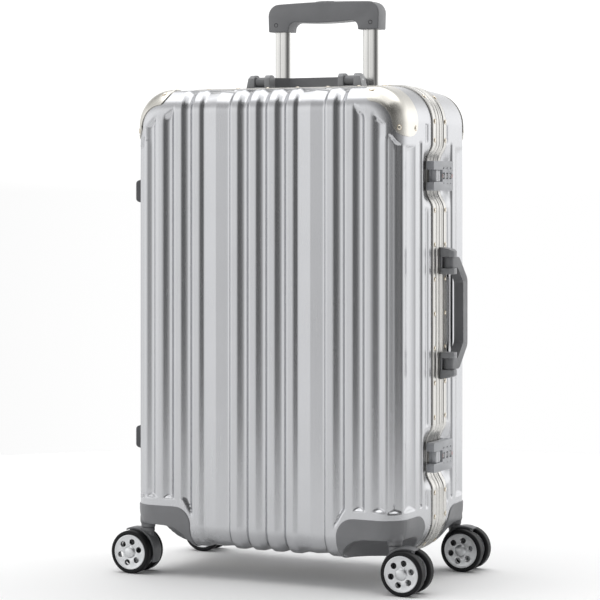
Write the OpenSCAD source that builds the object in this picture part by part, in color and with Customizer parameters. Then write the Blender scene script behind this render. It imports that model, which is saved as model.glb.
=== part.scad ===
// Hard shell suitcase with an aluminium frame, a telescopic handle and four twin-wheel casters.
// Z is up, the floor is z = 0, the lid faces -Y, the locks and the side handle are at +X.

/* [Case] */
// Width across the frame
case_w = 420; // [400:1:440]
// Height of the case body
case_h = 650; // [640:1:680]
// Depth over both shells
case_d = 254; // [250:1:270]
// Height of the case above the floor
lift = 37; // [36:1:38]
// Corner radius of the frame, seen from the front
corner_r = 55; // [52:1:58]
// Rounding between a shell's face and its sides
edge_r = 32; // [30:1:34]
// Thickness of the shells
wall = 2; // [1.6:0.1:2.2]
// How far each shell narrows from the frame to its face
draft = 3; // [2:0.5:4]
// Depth of the pressed grooves
rib_depth = 4; // [2:0.5:5]
// Width of a narrow groove
rib_w = 14.5; // [12:0.5:16]
// Spacing of the narrow grooves
rib_pitch = 28.8; // [27:0.1:30]

/* [Frame] */
// Front edge of the lid's frame profile, in front of the parting line
frame_front = 20; // [19:0.5:22]
// Rear edge of the rear frame profile, behind the parting line
frame_rear = 29; // [28:0.5:31]
// Thickness of a frame flange
flange = 2; // [1.6:0.1:2.2]
// Width of the frame's web
web = 12; // [11:0.5:14]
// Spacing of the rivets
rivet_pitch = 47.5; // [46:0.5:49]
// Depth of the recess around each lock
dip = 9; // [7:0.5:10]

/* [Locks and hinges] */
// Height of the lower lock and hinge
lock_low = 174; // [170:1:178]
// Height of the upper lock and hinge
lock_high = 561; // [556:1:566]
// Length of a lock across the joint
lock_l = 70; // [68:1:72]
// Height of a lock
lock_h = 41; // [39:1:42]
// Radius of a hinge pin
pin_r = 1.2; // [1:0.1:1.4]

/* [Handles] */
// Length of a carry handle over its lugs
handle_l = 183; // [178:1:188]
// Height of the side handle's middle
handle_z = 371; // [368:1:374]
// Half the spacing of the trolley tubes
tube_x = 70.6; // [68:0.2:73]
// Distance of the trolley tubes behind the parting line
tube_y = 83; // [81:0.5:85]
// Underside of the trolley grip
grip_low = 773; // [765:1:780]
// Top of the trolley grip
grip_high = 815; // [810:1:820]

/* [Casters] */
// Caster stem from the middle, across
stem_x = 190; // [188:1:192]
// Caster stem from the middle, in depth
stem_y = 107; // [106:1:108]
// Trail of the axle behind the stem
trail = 18; // [16:1:19]
// Wheel radius
wheel_r = 30.3; // [29:0.1:31]
// Height of the caps over the wheels
housing_top = 99; // [96:1:102]

/* [Hidden] */

$fn = 48;
eps = 0.01;                        // keeps cut faces from coinciding
fit = 0.05;                        // radial running clearance
half_w = case_w / 2;
half_d = case_d / 2;
top_z = lift + case_h;
hx = half_w - corner_r;            // centres of the corners, seen from the front
z_lo = lift + corner_r;
z_hi = top_z - corner_r;
rim_inset = flange + 0.2;          // the shells' rims tuck under the frame's flanges
part_front = 1.5;                  // mating face of the front frame
part_rear = 3.1;                   // mating face of the rear frame
lock_zs = [lock_low, lock_high];
dip_floor = 21.5;                  // half height of a recess at its floor
dip_mouth = 44;                    // and at its mouth
lock_y = -28;                      // front end of a lock
lock_out = 13;                     // a lock's outer face, from the recess floor
lock_x = half_w - dip;             // recess floor of the frame
hinge_x = -half_w - 0.6;
hinge_y = (part_front + part_rear) / 2;
knuckle_r = 2.6;
axle_z = wheel_r;
roof_z = 72;                       // roof of a wheel pocket
grip_mid = (grip_low + grip_high) / 2;
aluminium = [0.78, 0.79, 0.81];
warm_metal = [0.82, 0.80, 0.77];
grey_plastic = [0.46, 0.47, 0.48];
dark_plastic = [0.27, 0.28, 0.29];

// ---- outlines -------------------------------------------------------------

function arc(cx, cy, r, from, to, n = 10) =
    [for (i = [0:n]) let(a = from + (to - from) * i / n) [cx + r * cos(a), cy + r * sin(a)]];

// The frame's perimeter in X and Z, inset by k, with the two lock recesses on the right.
function perimeter(k) = concat(
    arc(hx, z_lo, corner_r - k, -90, 0),
    [for (z = lock_zs, p = [[0, -dip_mouth], [dip, -dip_floor], [dip, dip_floor], [0, dip_mouth]])
        [half_w - k - p[0], z + p[1]]],
    arc(hx, z_hi, corner_r - k, 0, 90),
    arc(-hx, z_hi, corner_r - k, 90, 180),
    arc(-hx, z_lo, corner_r - k, 180, 270));

// Radius of a shell's corner, inset by k, at distance t from the parting line.
function shell_r(k, t, edge) =
    corner_r - rim_inset - k - draft * max(0, t - edge) / (half_d - edge_r - edge);

// Half section of a shell from t0 to its face; the face runs on to -run behind the corner's centre.
module half_section(k, t0, edge, run = 0) {
    polygon(concat(
        [[-run, t0], [shell_r(k, t0, edge), t0]],
        t0 < edge ? [[shell_r(k, edge, edge), edge]] : [],
        arc(shell_r(0, half_d - edge_r, edge) - edge_r, half_d - edge_r, edge_r - k, 0, 90, 8),
        [[-run, half_d - k]]));
}

// Seen from the front, y runs from y0 to y1.
module along_y(y0, y1) translate([0, y1, 0]) rotate([90, 0, 0]) linear_extrude(y1 - y0) children();

module ring(k0, k1, y0, y1)
    along_y(y0, y1) difference() { polygon(perimeter(k0)); polygon(perimeter(k1)); }

// Everything is built for the lid at -Y; the rear half is its mirror image.
module half(rear) { if (rear) mirror([0, 1, 0]) children(); else children(); }
module both_sides() for (s = [0, 1]) mirror([s, 0, 0]) children();

// ---- shells ---------------------------------------------------------------

// The solid space inside a shell's skin, inset by k.
module slab(k, t0, edge, fn = 48)
    hull() for (sx = [-1, 1], z = [z_lo, z_hi])
        translate([sx * hx, 0, z]) rotate([90, 0, 0]) rotate_extrude($fn = fn)
            half_section(k, t0, edge);

// A pressed groove as an upright bar through the whole depth, from z0 to z1, with round ends.
module groove_bar(x, w, z0, z1)
    hull() for (z = [z0 + w / 2, z1 - w / 2])
        translate([x, 0, z]) rotate([90, 0, 0]) cylinder(r = w / 2, h = half_d + 5, $fn = 16);

module groove_bars(edge, grow) {
    through = 40;
    difference() {
        union() {
            for (i = [-1:1])
                groove_bar(i * rib_pitch, rib_w + 2 * grow, -through, top_z + through);
            for (s = [-1, 1]) {
                groove_bar(s * 72.5, 45 + 2 * grow, -through, top_z + through);
                groove_bar(s * 117, rib_w + 2 * grow, housing_top + 14 - grow, top_z + through);
                groove_bar(s * 146, rib_w + 2 * grow, housing_top + 14 - grow, z_hi + 18 + grow);
                groove_bar(s * 175, rib_w + 2 * grow, housing_top + 14 - grow, z_hi + 12 + grow);
                groove_bar(s * (half_w - 8), 30 + 2 * grow, housing_top + 9 - grow, z_hi - 27 + grow);
            }
        }
        // The skin next to the frame stays plain.
        translate([-half_w, -edge - 6 + grow, 0]) cube([case_w, edge + 20, case_h * 2]);
        // On the sides the corner groove stops short of the frame.
        for (s = [-1, 1]) translate([s * half_w, -80 + grow, 0])
            translate([-20, 0, 0]) cube([40, 90, case_h * 2]);
    }
}

// The recess around a lock, fading out towards the face.
module dip_cut(z, edge, grow) {
    x0 = half_w - rim_inset - dip - grow;
    hull() for (p = [[5, 0], [-edge - 4, 0], [-edge - 32, dip + 2]])
        translate([0, p[0], 0]) along_y(-0.1, 0) polygon([
            [x0 + p[1], z - dip_floor], [x0 + p[1], z + dip_floor],
            [x0 + 18, z + dip_floor + 45], [x0 + 18, z - dip_floor - 45]]);
}

// Plan of a wheel housing's upper edge, as a block with rounded inner ends.
module housing_block(clear = 0) {
    x0 = 112 - clear;
    t0 = 40 - clear;
    r = 25;
    top = housing_top + clear;
    intersection() {
        along_y(-half_d - 10, -t0) union() {
            translate([x0 + r, 0]) square([half_w, top]);
            translate([x0, 0]) square([r + 1, top - r]);
            translate([x0 + r, top - r]) circle(r = r);
        }
        translate([x0, 0, 0]) rotate([90, 0, 90]) linear_extrude(half_w) union() {
            translate([-half_d - 10, 0]) square([half_d + 10 - t0 - r, top]);
            translate([-t0 - r - 1, 0]) square([r + 1, top - r]);
            translate([-t0 - r, top - r]) circle(r = r);
        }
    }
}

// Space that a caster sweeps, as a cone under the housing's roof.
module wheel_pocket(grow = 0)
    translate([stem_x, -stem_y, 0]) {
        translate([0, 0, lift - 1]) cylinder(r1 = 66 + grow, r2 = 32 + grow, h = roof_z - lift + 1 + grow);
        translate([0, 0, lift - 20]) cylinder(r = 66 + grow, h = 19 + eps);
    }

// A solid with the grooves pressed in, inset by k, and the lock recesses cut.
module ribbed_solid(k, t0, edge) {
    difference() {
        union() {
            slab(rib_depth + k, t0, edge);
            difference() { slab(k, t0, edge); groove_bars(edge, k); }
        }
        for (z = lock_zs) dip_cut(z, edge, k);
    }
}

module shell(edge, t0) {
    difference() {
        ribbed_solid(0, t0, edge);
        ribbed_solid(wall, t0 - 1, edge);
        both_sides() { housing_block(0.3); wheel_pocket(0.3); }
    }
}

module front_shell() color(aluminium) half(false) shell(frame_front, 6);

// The rear shell has a slot for the bezel around the trolley tubes.
module rear_shell() color(aluminium) half(true) difference() {
    shell(frame_rear, 19);
    translate([-bezel[0] / 2 - 0.3, -tube_y - bezel[1] / 2 - 0.3, z_hi + 30])
        cube([bezel[0] + 0.6, bezel[1] + 0.6, 60]);
}

// ---- linings: a fabric tray inside each half ------------------------------

module lining_tray(t0, edge) {
    inset = rib_depth + wall + 2;
    difference() {
        slab(inset, t0, edge, 32);
        slab(inset + 1.5, t0 - 1, edge, 32);
        for (z = lock_zs) dip_cut(z, edge, inset);
        both_sides() translate([stem_x - 82, -half_d - 1, 0])
            cube([100, half_d - 32, housing_top + 6]);
    }
}

module front_lining() color([0.22, 0.23, 0.26]) half(false) lining_tray(20, frame_front);

module rear_lining() color([0.22, 0.23, 0.26]) half(true) {
    tunnel_front = tube_y - 16;
    difference() {
        lining_tray(30, frame_rear);
        // The tubes stand on the shell's floor and leave through its top.
        for (z = [lift, z_hi]) translate([-90.5, -half_d + 11, z])
            cube([181, half_d - 11 - tunnel_front - 1.5, 60]);
    }
    // The tunnel that hides the trolley tubes, cut back to clear the shell's rounded edges.
    intersection() {
        slab(rib_depth + wall + 0.8, 30, frame_rear, 32);
        translate([0, -tunnel_front, 0]) difference() {
            translate([-92, -50.5, 50]) cube([184, 50.5, 624]);
            translate([-90.5, -60, 40]) cube([181, 58.5, 640]);
        }
    }
}

module strap(lean)
    translate([0, 36, 362]) rotate([0, lean, 0]) translate([-12.5, -1, -255]) cube([25, 2, 510]);

module packing_straps() color([0.2, 0.2, 0.22]) {
    strap(38);
    strap(-38);
    translate([-22, 34, 344]) cube([44, 4.5, 36]);
}

// ---- frame ----------------------------------------------------------------

module hinge_space()
    for (z = lock_zs) translate([hinge_x, hinge_y, z - 31]) cylinder(r = knuckle_r + 0.5, h = 62);

module front_frame() color(warm_metal) difference() {
    union() {
        ring(0, flange, -frame_front, part_front);
        ring(0, web, -5.5, part_front);
        ring(flange + wall + 0.4, flange + wall + 2.4, -18, -5);
    }
    hinge_space();
}

module rear_frame() color(warm_metal) difference() {
    union() {
        ring(0.8, web, part_rear, 18);
        ring(0, flange, 17.9, frame_rear);
        ring(flange + wall + 0.4, flange + wall + 2.4, 17.9, 27);
    }
    hinge_space();
}

module frame_gasket() color([0.16, 0.16, 0.17]) difference() {
    ring(1.2, 4, part_front, part_rear - 0.3);
    hinge_space();
}

// Rivets run through flange, shell and inner flange. Each has a domed head.
module rivet() {
    translate([0, 0, -5]) cylinder(r = 1.6, h = 5.3);
    translate([0, 0, 0.02]) rotate_extrude() intersection() {
        translate([0, -4.1]) circle(r = 5);
        square([2.9, 2]);
    }
}

module side_rivets()
    for (z = concat([for (k = [-3:3]) handle_z + k * rivet_pitch], [92, 125, 610, 636]))
        translate([half_w, 0, z]) rotate([0, 90, 0]) rivet();

module end_rivets() for (k = [-3:3]) translate([k * rivet_pitch, 0, 0]) rivet();

module corner_rivets()
    for (s = [0, 1], p = [[z_hi, 45], [z_lo, 135]]) mirror([s, 0, 0]) translate([hx, 0, p[0]])
        rotate([0, p[1], 0]) translate([0, 0, corner_r]) rivet();

module rivet_row(y) color([0.72, 0.64, 0.5]) translate([0, y, 0]) {
    both_sides() side_rivets();
    translate([0, 0, top_z]) end_rivets();
    translate([0, 0, lift]) mirror([0, 0, 1]) end_rivets();
    corner_rivets();
}

module front_rivets() rivet_row(-14);
module rear_rivets() rivet_row(24);

// ---- corner caps and wheel housings ---------------------------------------

// One lower corner of the shell as a solid, inset by k, at +X. It goes on inwards and upwards.
module corner_solid(k, t0, edge, run_x, run_z) {
    translate([hx, 0, z_lo]) rotate([90, 0, 0]) rotate([0, 0, -90])
        rotate_extrude(angle = 90) half_section(k, t0, edge);
    translate([hx, 0, z_lo]) rotate([180, 90, 0])
        linear_extrude(run_x) half_section(k, t0, edge, run_z);
    translate([hx, 0, z_lo]) linear_extrude(run_z) mirror([0, 1]) half_section(k, t0, edge);
}

module wheel_housing(edge) {
    run_x = hx - 100;
    run_z = housing_top + 12 - z_lo;
    boss_r = 10;
    difference() {
        union() {
            difference() {
                intersection() { corner_solid(-1.2, 38, edge, run_x, run_z); housing_block(); }
                // Hollow behind the skin, except for the lining of the pocket.
                difference() {
                    corner_solid(3, 36, edge, run_x + 2, run_z);
                    wheel_pocket(2.5);
                }
            }
            translate([stem_x, -stem_y, roof_z]) cylinder(r = boss_r, h = 14);
        }
        wheel_pocket();
        translate([stem_x, -stem_y, roof_z - 1]) cylinder(r = 4 + fit, h = 11);
    }
    translate([stem_x, -stem_y, 64.7]) difference() {
        cylinder(r = boss_r, h = roof_z - 64.7 + 0.02);
        translate([0, 0, -1]) cylinder(r = 4 + fit, h = 12);
    }
}

module front_wheel_housings() color(grey_plastic) half(false) both_sides() wheel_housing(frame_front);
module rear_wheel_housings() color(grey_plastic) half(true) both_sides() wheel_housing(frame_rear);

// The upper corner caps, seen from the front: two arms with round ends and a concave inner edge.
module cap_outline() {
    arm = 13;
    z_arm = top_z - 27 + arm;
    x_arm = half_w - 18 + arm;
    fillet = 28;
    hull() for (x = [149 + arm, half_w + 20]) translate([x, z_arm]) circle(r = arm);
    hull() for (z = [z_hi - 19 + arm, top_z + 20]) translate([x_arm, z]) circle(r = arm);
    translate([x_arm - arm - fillet, z_arm - arm - fillet]) difference() {
        square(fillet + 10);
        circle(r = fillet);
    }
    translate([half_w - 18, z_hi]) square([40, 80]);
    translate([hx, top_z - 20]) square([80, 40]);
}

// Both caps of one half, starting at a distance from the parting line.
module corner_caps(edge, from)
    for (s = [0, 1]) mirror([s, 0, 0]) intersection() {
        difference() { slab(-1.4, 64, edge); slab(-0.2, 60, edge); }
        along_y(-half_d - 10, -from) cap_outline();
    }

module front_corner_caps() color([0.83, 0.81, 0.76]) half(false) corner_caps(frame_front, 66);
module rear_corner_caps() color([0.83, 0.81, 0.76]) half(true) corner_caps(frame_rear, 106);

// Feet on the side that the case lies on.
module side_feet()
    for (z = [191, 540]) translate([-half_w - 3.4, -half_d + 25, z - 18.5]) cube([14, 14, 37]);

module front_side_feet() color(dark_plastic) half(false) side_feet();
module rear_side_feet() color(dark_plastic) half(true) side_feet();

// ---- hinges ---------------------------------------------------------------

// A leaf on the frame's side with its knuckles; spans lists each knuckle's low and high end.
module hinge_leaf(rear, spans) {
    y0 = rear ? hinge_y + 3.2 : -18;
    y1 = rear ? 27 : hinge_y - 3.2;
    for (z = lock_zs) translate([0, 0, z]) difference() {
        union() {
            translate([-half_w - 1.2, y0, -30]) cube([1.2, y1 - y0, 60]);
            for (p = spans) {
                translate([hinge_x, hinge_y, p[0]]) cylinder(r = knuckle_r, h = p[1] - p[0]);
                translate([-half_w - 1.2, rear ? hinge_y : y1 - 1, p[0]])
                    cube([1.2, 4.2, p[1] - p[0]]);
            }
        }
        translate([hinge_x, hinge_y, -31]) cylinder(r = pin_r + fit, h = 62);
    }
}

module hinge_rear_leaves() color(warm_metal) hinge_leaf(true, [[-30, -10.3], [10.3, 30]]);
module hinge_front_leaves() color(warm_metal) hinge_leaf(false, [[-10, 10]]);
module hinge_pins() color([0.6, 0.6, 0.62])
    for (z = lock_zs) translate([hinge_x, hinge_y, z - 30.5]) cylinder(r = pin_r, h = 61);

// ---- locks ----------------------------------------------------------------

dial_r = 5.6;
dial_x = lock_x + 7.2;
dial_w = 6.4;
spindle_r = 1;
dial_ys = [8, 20.4, 32.8];

module lock_body(z) color([0.6, 0.61, 0.62]) translate([0, 0, z]) difference() {
    translate([lock_x, lock_y, -lock_h / 2]) cube([lock_out, lock_l, lock_h]);
    // It hangs clear of the lid's frame and shell.
    translate([lock_x - 1, lock_y - 1, -lock_h]) cube([3, part_rear - lock_y + 1, 2 * lock_h]);
    translate([lock_x - 1, lock_y - 1, -9.5]) cube([7, part_rear - lock_y + 1, 19]);
    // Notch and channel of the slider.
    translate([lock_x, lock_y - 1, -8.6]) cube([lock_out + 1, 10, 17.2]);
    translate([lock_x + 5.9, lock_y - 1, -8.1]) cube([lock_out, 33, 16.2]);
    for (y = dial_ys) {
        translate([dial_x, y - dial_w / 2 - 0.3, 0]) rotate([-90, 0, 0])
            cylinder(r = dial_r + 0.3, h = dial_w + 0.6);
        // Release slot above each dial.
        translate([lock_x + lock_out - 1.2, y - 2.6, 8.6]) cube([2, 5.2, 2.6]);
    }
    // One bore carries the spindles of all the dials.
    translate([dial_x, dial_ys[0] - dial_w / 2 - 1.3, 0]) rotate([-90, 0, 0])
        cylinder(r = spindle_r + fit, h = dial_ys[2] - dial_ys[0] + dial_w + 2.6);
    // It clears the rear shell's side behind the recess.
    translate([lock_x, lock_y + lock_l, -lock_h]) linear_extrude(2 * lock_h)
        polygon([[-1, -13], [-1, 1], [5, 1]]);
}

module lock_body_upper() lock_body(lock_high);
module lock_body_lower() lock_body(lock_low);

module latch(z) color([0.72, 0.73, 0.74]) translate([0, 0, z]) {
    translate([lock_x + 6.2, lock_y + 9.5, -7.8]) cube([lock_out - 6.6, 16, 15.6]);
}
module latch_upper() latch(lock_high);
module latch_lower() latch(lock_low);

module dial(z, i) color([0.5, 0.5, 0.51]) translate([dial_x, dial_ys[i], z])
    rotate([-90, 0, 0]) {
        translate([0, 0, -dial_w / 2]) cylinder(r = dial_r, h = dial_w);
        translate([0, 0, -dial_w / 2 - 1]) cylinder(r = spindle_r, h = dial_w + 2);
    }

module dial_upper_1() dial(lock_high, 0);
module dial_upper_2() dial(lock_high, 1);
module dial_upper_3() dial(lock_high, 2);
module dial_lower_1() dial(lock_low, 0);
module dial_lower_2() dial(lock_low, 1);
module dial_lower_3() dial(lock_low, 2);

module lock_keepers() color(warm_metal)
    for (z = lock_zs) translate([lock_x, -18, z - 8]) cube([5, 14, 16]);

// ---- carry handles, in their own frame: X along, Y back, Z away from the case -------

lug_l = 37.5;
lug_y = [4, 23];
lug_h = 20;
pivot_y = 13;
pivot_z = 9.8;
arm_t = 14;                        // thickness of the bail, and width of its knuckle
knuckle_gap = [13.5, 29];          // slot in a lug, from its outer end

module lugs() both_sides() {
    x1 = handle_l / 2;
    difference() {
        translate([x1 - lug_l, 0, 0]) rotate([90, 0, 90]) linear_extrude(lug_l)
            polygon([[lug_y[0], 0], [lug_y[1], 0], [lug_y[1], lug_h - 5], [lug_y[1] - 4, lug_h],
                     [lug_y[0] + 3, lug_h], [lug_y[0], lug_h - 4]]);
        translate([x1 - knuckle_gap[1], 0, 2.4])
            cube([knuckle_gap[1] - knuckle_gap[0], 40, lug_h]);
        translate([x1 + 1, lug_y[0] - 1, lug_h - 3]) rotate([0, 45, 0]) cube([6, 30, 6]);
    }
    translate([x1 - lug_l + 2, pivot_y, pivot_z]) rotate([0, 90, 0]) cylinder(r = 2, h = lug_l - 4);
}

module bail() {
    x1 = handle_l / 2 - knuckle_gap[0] - 0.4;
    x0 = handle_l / 2 - knuckle_gap[1] + 0.4;
    back = 65;
    bevel = 31;
    difference() {
        union() {
            translate([0, 0, pivot_z - arm_t / 2]) linear_extrude(arm_t) difference() {
                polygon([[-x1, pivot_y], [x1, pivot_y], [x1, back - bevel], [x1 - bevel, back],
                         [bevel - x1, back], [-x1, back - bevel]]);
                polygon([[-x0, 0], [x0, 0], [x0, back - bevel - 6], [x0 - 21, back - 16],
                         [21 - x0, back - 16], [-x0, back - bevel - 6]]);
            }
            both_sides() translate([x0, pivot_y, pivot_z]) rotate([0, 90, 0])
                cylinder(r = arm_t / 2, h = x1 - x0);
        }
        translate([-handle_l / 2, pivot_y, pivot_z]) rotate([0, 90, 0])
            cylinder(r = 2 + fit, h = handle_l);
    }
}

module on_side() translate([half_w, 0, handle_z]) rotate([0, 90, 0]) children();
module on_top() translate([0, 0, top_z]) children();

module side_handle_lugs() color(grey_plastic) on_side() lugs();
module top_handle_lugs() color(grey_plastic) on_top() lugs();
module side_handle() color(grey_plastic) on_side() bail();
module top_handle() color(grey_plastic) on_top() bail();

// ---- trolley --------------------------------------------------------------

tube_wall = 1.2;
inner_tube = [24, 13];
mid_tube = [27.2, 16.2];
outer_tube = [30.4, 19.4];
bezel = [196, 34];

// A flat oval, size[0] along X and size[1] along Y.
module oval(size) {
    for (s = [-1, 1]) translate([s * (size[0] - size[1]) / 2, 0]) circle(r = size[1] / 2);
    square([size[0] - size[1], size[1]], center = true);
}

module tube_pair(size, z0, z1)
    for (s = [-1, 1]) translate([s * tube_x, tube_y, z0]) linear_extrude(z1 - z0) difference() {
        oval(size);
        oval([size[0] - 2 * tube_wall, size[1] - 2 * tube_wall]);
    }

module trolley_outer_tubes() color(aluminium) tube_pair(outer_tube, 48.2, 684);
module trolley_mid_tubes() color(aluminium) tube_pair(mid_tube, 398, 688.4);
module trolley_inner_tubes() color(aluminium) tube_pair(inner_tube, 484, grip_low + 22);

module trolley_bezel() color(grey_plastic) difference() {
    union() {
        translate([-bezel[0] / 2, tube_y - bezel[1] / 2, 678]) cube([bezel[0], bezel[1], 8.2]);
        for (s = [-1, 1]) translate([s * tube_x, tube_y, 686]) linear_extrude(2.2) oval([37, 26]);
    }
    for (s = [-1, 1]) translate([s * tube_x, tube_y, 670]) {
        linear_extrude(30) oval(mid_tube + [0.6, 0.6]);
        linear_extrude(14.2) oval(outer_tube + [0.2, 0.2]);
    }
}

module trolley_grip() color(grey_plastic) {
    half_l = 88.5;
    depth = 28;
    difference() {
        translate([0, tube_y + depth / 2, 0]) rotate([90, 0, 0]) linear_extrude(depth)
            polygon(concat(
                [[-half_l, grip_low], [-half_l + 34, grip_low]],
                arc(-half_l + 46, grip_low, 12, 180, 90, 6),
                arc(half_l - 46, grip_low, 12, 90, 0, 6),
                [[half_l - 34, grip_low], [half_l, grip_low]],
                arc(half_l - 12, grip_high - 12, 12, 0, 90, 6),
                arc(-half_l + 12, grip_high - 12, 12, 90, 180, 6)));
        for (s = [-1, 1]) translate([s * tube_x, tube_y, grip_low - 1]) linear_extrude(23.2)
            oval([inner_tube[0] + 0.1, inner_tube[1] + 0.1]);
        translate([-16.4, tube_y - 8.4, grip_mid + 3]) cube([32.8, 16.8, 40]);
    }
}

module trolley_button() color(grey_plastic)
    translate([-16, tube_y - 8, grip_mid + 8]) cube([32, 16, grip_high - grip_mid - 8 + 1.5]);

// ---- casters --------------------------------------------------------------

// Each corner: how its stem and its trail point.
module at_corner(sx, sy) translate([sx * stem_x, sy * stem_y, 0])
    mirror([sx < 0 ? 1 : 0, 0, 0]) children();

module caster_fork(sx, sy) color(dark_plastic) at_corner(sx, sy) {
    plate = 13;
    stem_top = 64.4;
    translate([0, 0, 50]) cylinder(r = 8, h = stem_top - 50);
    translate([0, 0, stem_top - 0.01]) cylinder(r = 4, h = 14);
    translate([0, plate / 2, 0]) rotate([90, 0, 0]) linear_extrude(plate)
        polygon(concat(arc(trail, axle_z, 32.5, 78, 200, 14), arc(trail, axle_z, 9, 235, 400, 10)));
    translate([trail, 22, axle_z]) rotate([90, 0, 0]) cylinder(r = 3, h = 44);
}

// A wheel about its own axis, its outer face at +Z.
module wheel_tyre() color([0.09, 0.09, 0.1]) rotate_extrude() translate([0, 8])
    polygon(concat([[24.65, 0]], arc(wheel_r - 3, 3, 3, -90, 0, 5),
                   arc(wheel_r - 3, 11.5, 3, 0, 90, 5), [[24.65, 14.5]]));

module wheel_hub() color([0.75, 0.76, 0.77]) difference() {
    rotate_extrude() polygon(concat(
        [[3 + fit, 8.6], [6.5, 8.6], [6.5, 16], [21.5, 16], [21.5, 9], [24.6, 9], [24.6, 21.6],
         [23.4, 22.2], [8, 21.6]],
        arc(0, 14.4, 10.2, 44, 90, 5),
        [[0, 22.2], [3 + fit, 22.2]]));
    for (i = [0:5]) rotate([0, 0, i * 60 + 15]) translate([15, 0, 0]) cylinder(r = 4.25, h = 30);
}

// side is 1 for the wheel away from the case's middle and -1 for the other.
module at_axle(sx, sy, side) translate([sx * (stem_x + trail), sy * stem_y, axle_z])
    rotate([-90 * sy * side, 0, 0]) children();

module caster_fork_fl() caster_fork(-1, -1);
module caster_fork_fr() caster_fork(1, -1);
module caster_fork_rl() caster_fork(-1, 1);
module caster_fork_rr() caster_fork(1, 1);
module tyre_fl_outer() at_axle(-1, -1, 1) wheel_tyre();
module tyre_fl_inner() at_axle(-1, -1, -1) wheel_tyre();
module tyre_fr_outer() at_axle(1, -1, 1) wheel_tyre();
module tyre_fr_inner() at_axle(1, -1, -1) wheel_tyre();
module tyre_rl_outer() at_axle(-1, 1, 1) wheel_tyre();
module tyre_rl_inner() at_axle(-1, 1, -1) wheel_tyre();
module tyre_rr_outer() at_axle(1, 1, 1) wheel_tyre();
module tyre_rr_inner() at_axle(1, 1, -1) wheel_tyre();
module hub_fl_outer() at_axle(-1, -1, 1) wheel_hub();
module hub_fl_inner() at_axle(-1, -1, -1) wheel_hub();
module hub_fr_outer() at_axle(1, -1, 1) wheel_hub();
module hub_fr_inner() at_axle(1, -1, -1) wheel_hub();
module hub_rl_outer() at_axle(-1, 1, 1) wheel_hub();
module hub_rl_inner() at_axle(-1, 1, -1) wheel_hub();
module hub_rr_outer() at_axle(1, 1, 1) wheel_hub();
module hub_rr_inner() at_axle(1, 1, -1) wheel_hub();

rear_shell();
rear_frame();
rear_lining();
rear_corner_caps();
rear_wheel_housings();
rear_rivets();
side_handle_lugs();
top_handle_lugs();
lock_body_upper();
lock_body_lower();
hinge_rear_leaves();
hinge_pins();
trolley_outer_tubes();
trolley_bezel();
rear_side_feet();
packing_straps();
front_shell();
front_frame();
front_lining();
front_corner_caps();
front_wheel_housings();
front_rivets();
lock_keepers();
hinge_front_leaves();
front_side_feet();
frame_gasket();
side_handle();
top_handle();
trolley_mid_tubes();
trolley_inner_tubes();
trolley_grip();
trolley_button();
latch_upper();
latch_lower();
dial_upper_1();
dial_upper_2();
dial_upper_3();
dial_lower_1();
dial_lower_2();
dial_lower_3();
caster_fork_fl();
caster_fork_fr();
caster_fork_rl();
caster_fork_rr();
tyre_fl_outer();
tyre_fl_inner();
tyre_fr_outer();
tyre_fr_inner();
tyre_rl_outer();
tyre_rl_inner();
tyre_rr_outer();
tyre_rr_inner();
hub_fl_outer();
hub_fl_inner();
hub_fr_outer();
hub_fr_inner();
hub_rl_outer();
hub_rl_inner();
hub_rr_outer();
hub_rr_inner();
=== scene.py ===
"""Hard shell suitcase: the looks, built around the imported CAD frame. Metres, Z up, lid at -Y."""
import math
import bmesh
import bpy
import numpy as np
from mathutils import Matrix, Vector


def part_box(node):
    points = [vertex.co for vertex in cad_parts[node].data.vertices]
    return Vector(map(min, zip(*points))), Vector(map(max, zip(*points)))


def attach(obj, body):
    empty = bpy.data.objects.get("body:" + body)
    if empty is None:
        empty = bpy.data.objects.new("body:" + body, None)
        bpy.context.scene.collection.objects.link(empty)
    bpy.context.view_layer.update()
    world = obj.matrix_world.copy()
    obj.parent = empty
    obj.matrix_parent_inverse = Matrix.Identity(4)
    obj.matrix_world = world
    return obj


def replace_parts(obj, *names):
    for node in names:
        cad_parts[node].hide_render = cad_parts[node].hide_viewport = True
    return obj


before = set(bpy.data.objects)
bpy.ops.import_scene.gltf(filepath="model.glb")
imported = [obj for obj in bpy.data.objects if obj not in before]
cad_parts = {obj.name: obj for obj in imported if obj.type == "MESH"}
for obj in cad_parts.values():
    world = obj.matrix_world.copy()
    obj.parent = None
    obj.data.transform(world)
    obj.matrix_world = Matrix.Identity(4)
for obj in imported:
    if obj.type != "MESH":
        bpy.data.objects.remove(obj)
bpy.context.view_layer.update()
MM = 0.001

# ---- driving sizes, in millimetres, from the frame -------------------------------------------


def node_mm(name):
    low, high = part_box(name)
    return [c / MM for c in low], [c / MM for c in high]


FRAME_LOW, FRAME_HIGH = node_mm("front_frame")
HALF_W = FRAME_HIGH[0]                      # half width over the frame
CASE_LOW, CASE_TOP = FRAME_LOW[2], FRAME_HIGH[2]
HALF_D = -node_mm("front_shell")[0][1]      # parting line to a shell's face
CORNER_R = 55.0
EDGE_R = 32.0
RIM_INSET = 2.2
DRAFT = 3.0
HX = HALF_W - CORNER_R                      # corner centres, seen from the front
ZC = (CASE_LOW + CASE_TOP) / 2
HZ = (CASE_TOP - CASE_LOW) / 2 - CORNER_R
HOUSING_TOP = 99.0
LOCK_ZS = [sum(b[2] for b in node_mm(n)) / 2 for n in ("lock_body_lower", "lock_body_upper")]
DIP, DIP_FLOOR, DIP_MOUTH = 9.0, 21.5, 44.0
FRONT_EDGE, REAR_EDGE = 20.0, 29.0          # where each shell meets its frame
HANDLE_MID = 371.0                          # middle of the side handle and of the rivets on the sides


# ---- mesh helpers ----------------------------------------------------------------------------

def smooth(e0, e1, x):
    t = np.clip((np.asarray(x, float) - e0) / (e1 - e0), 0, 1)
    return t * t * (3 - 2 * t)


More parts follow.
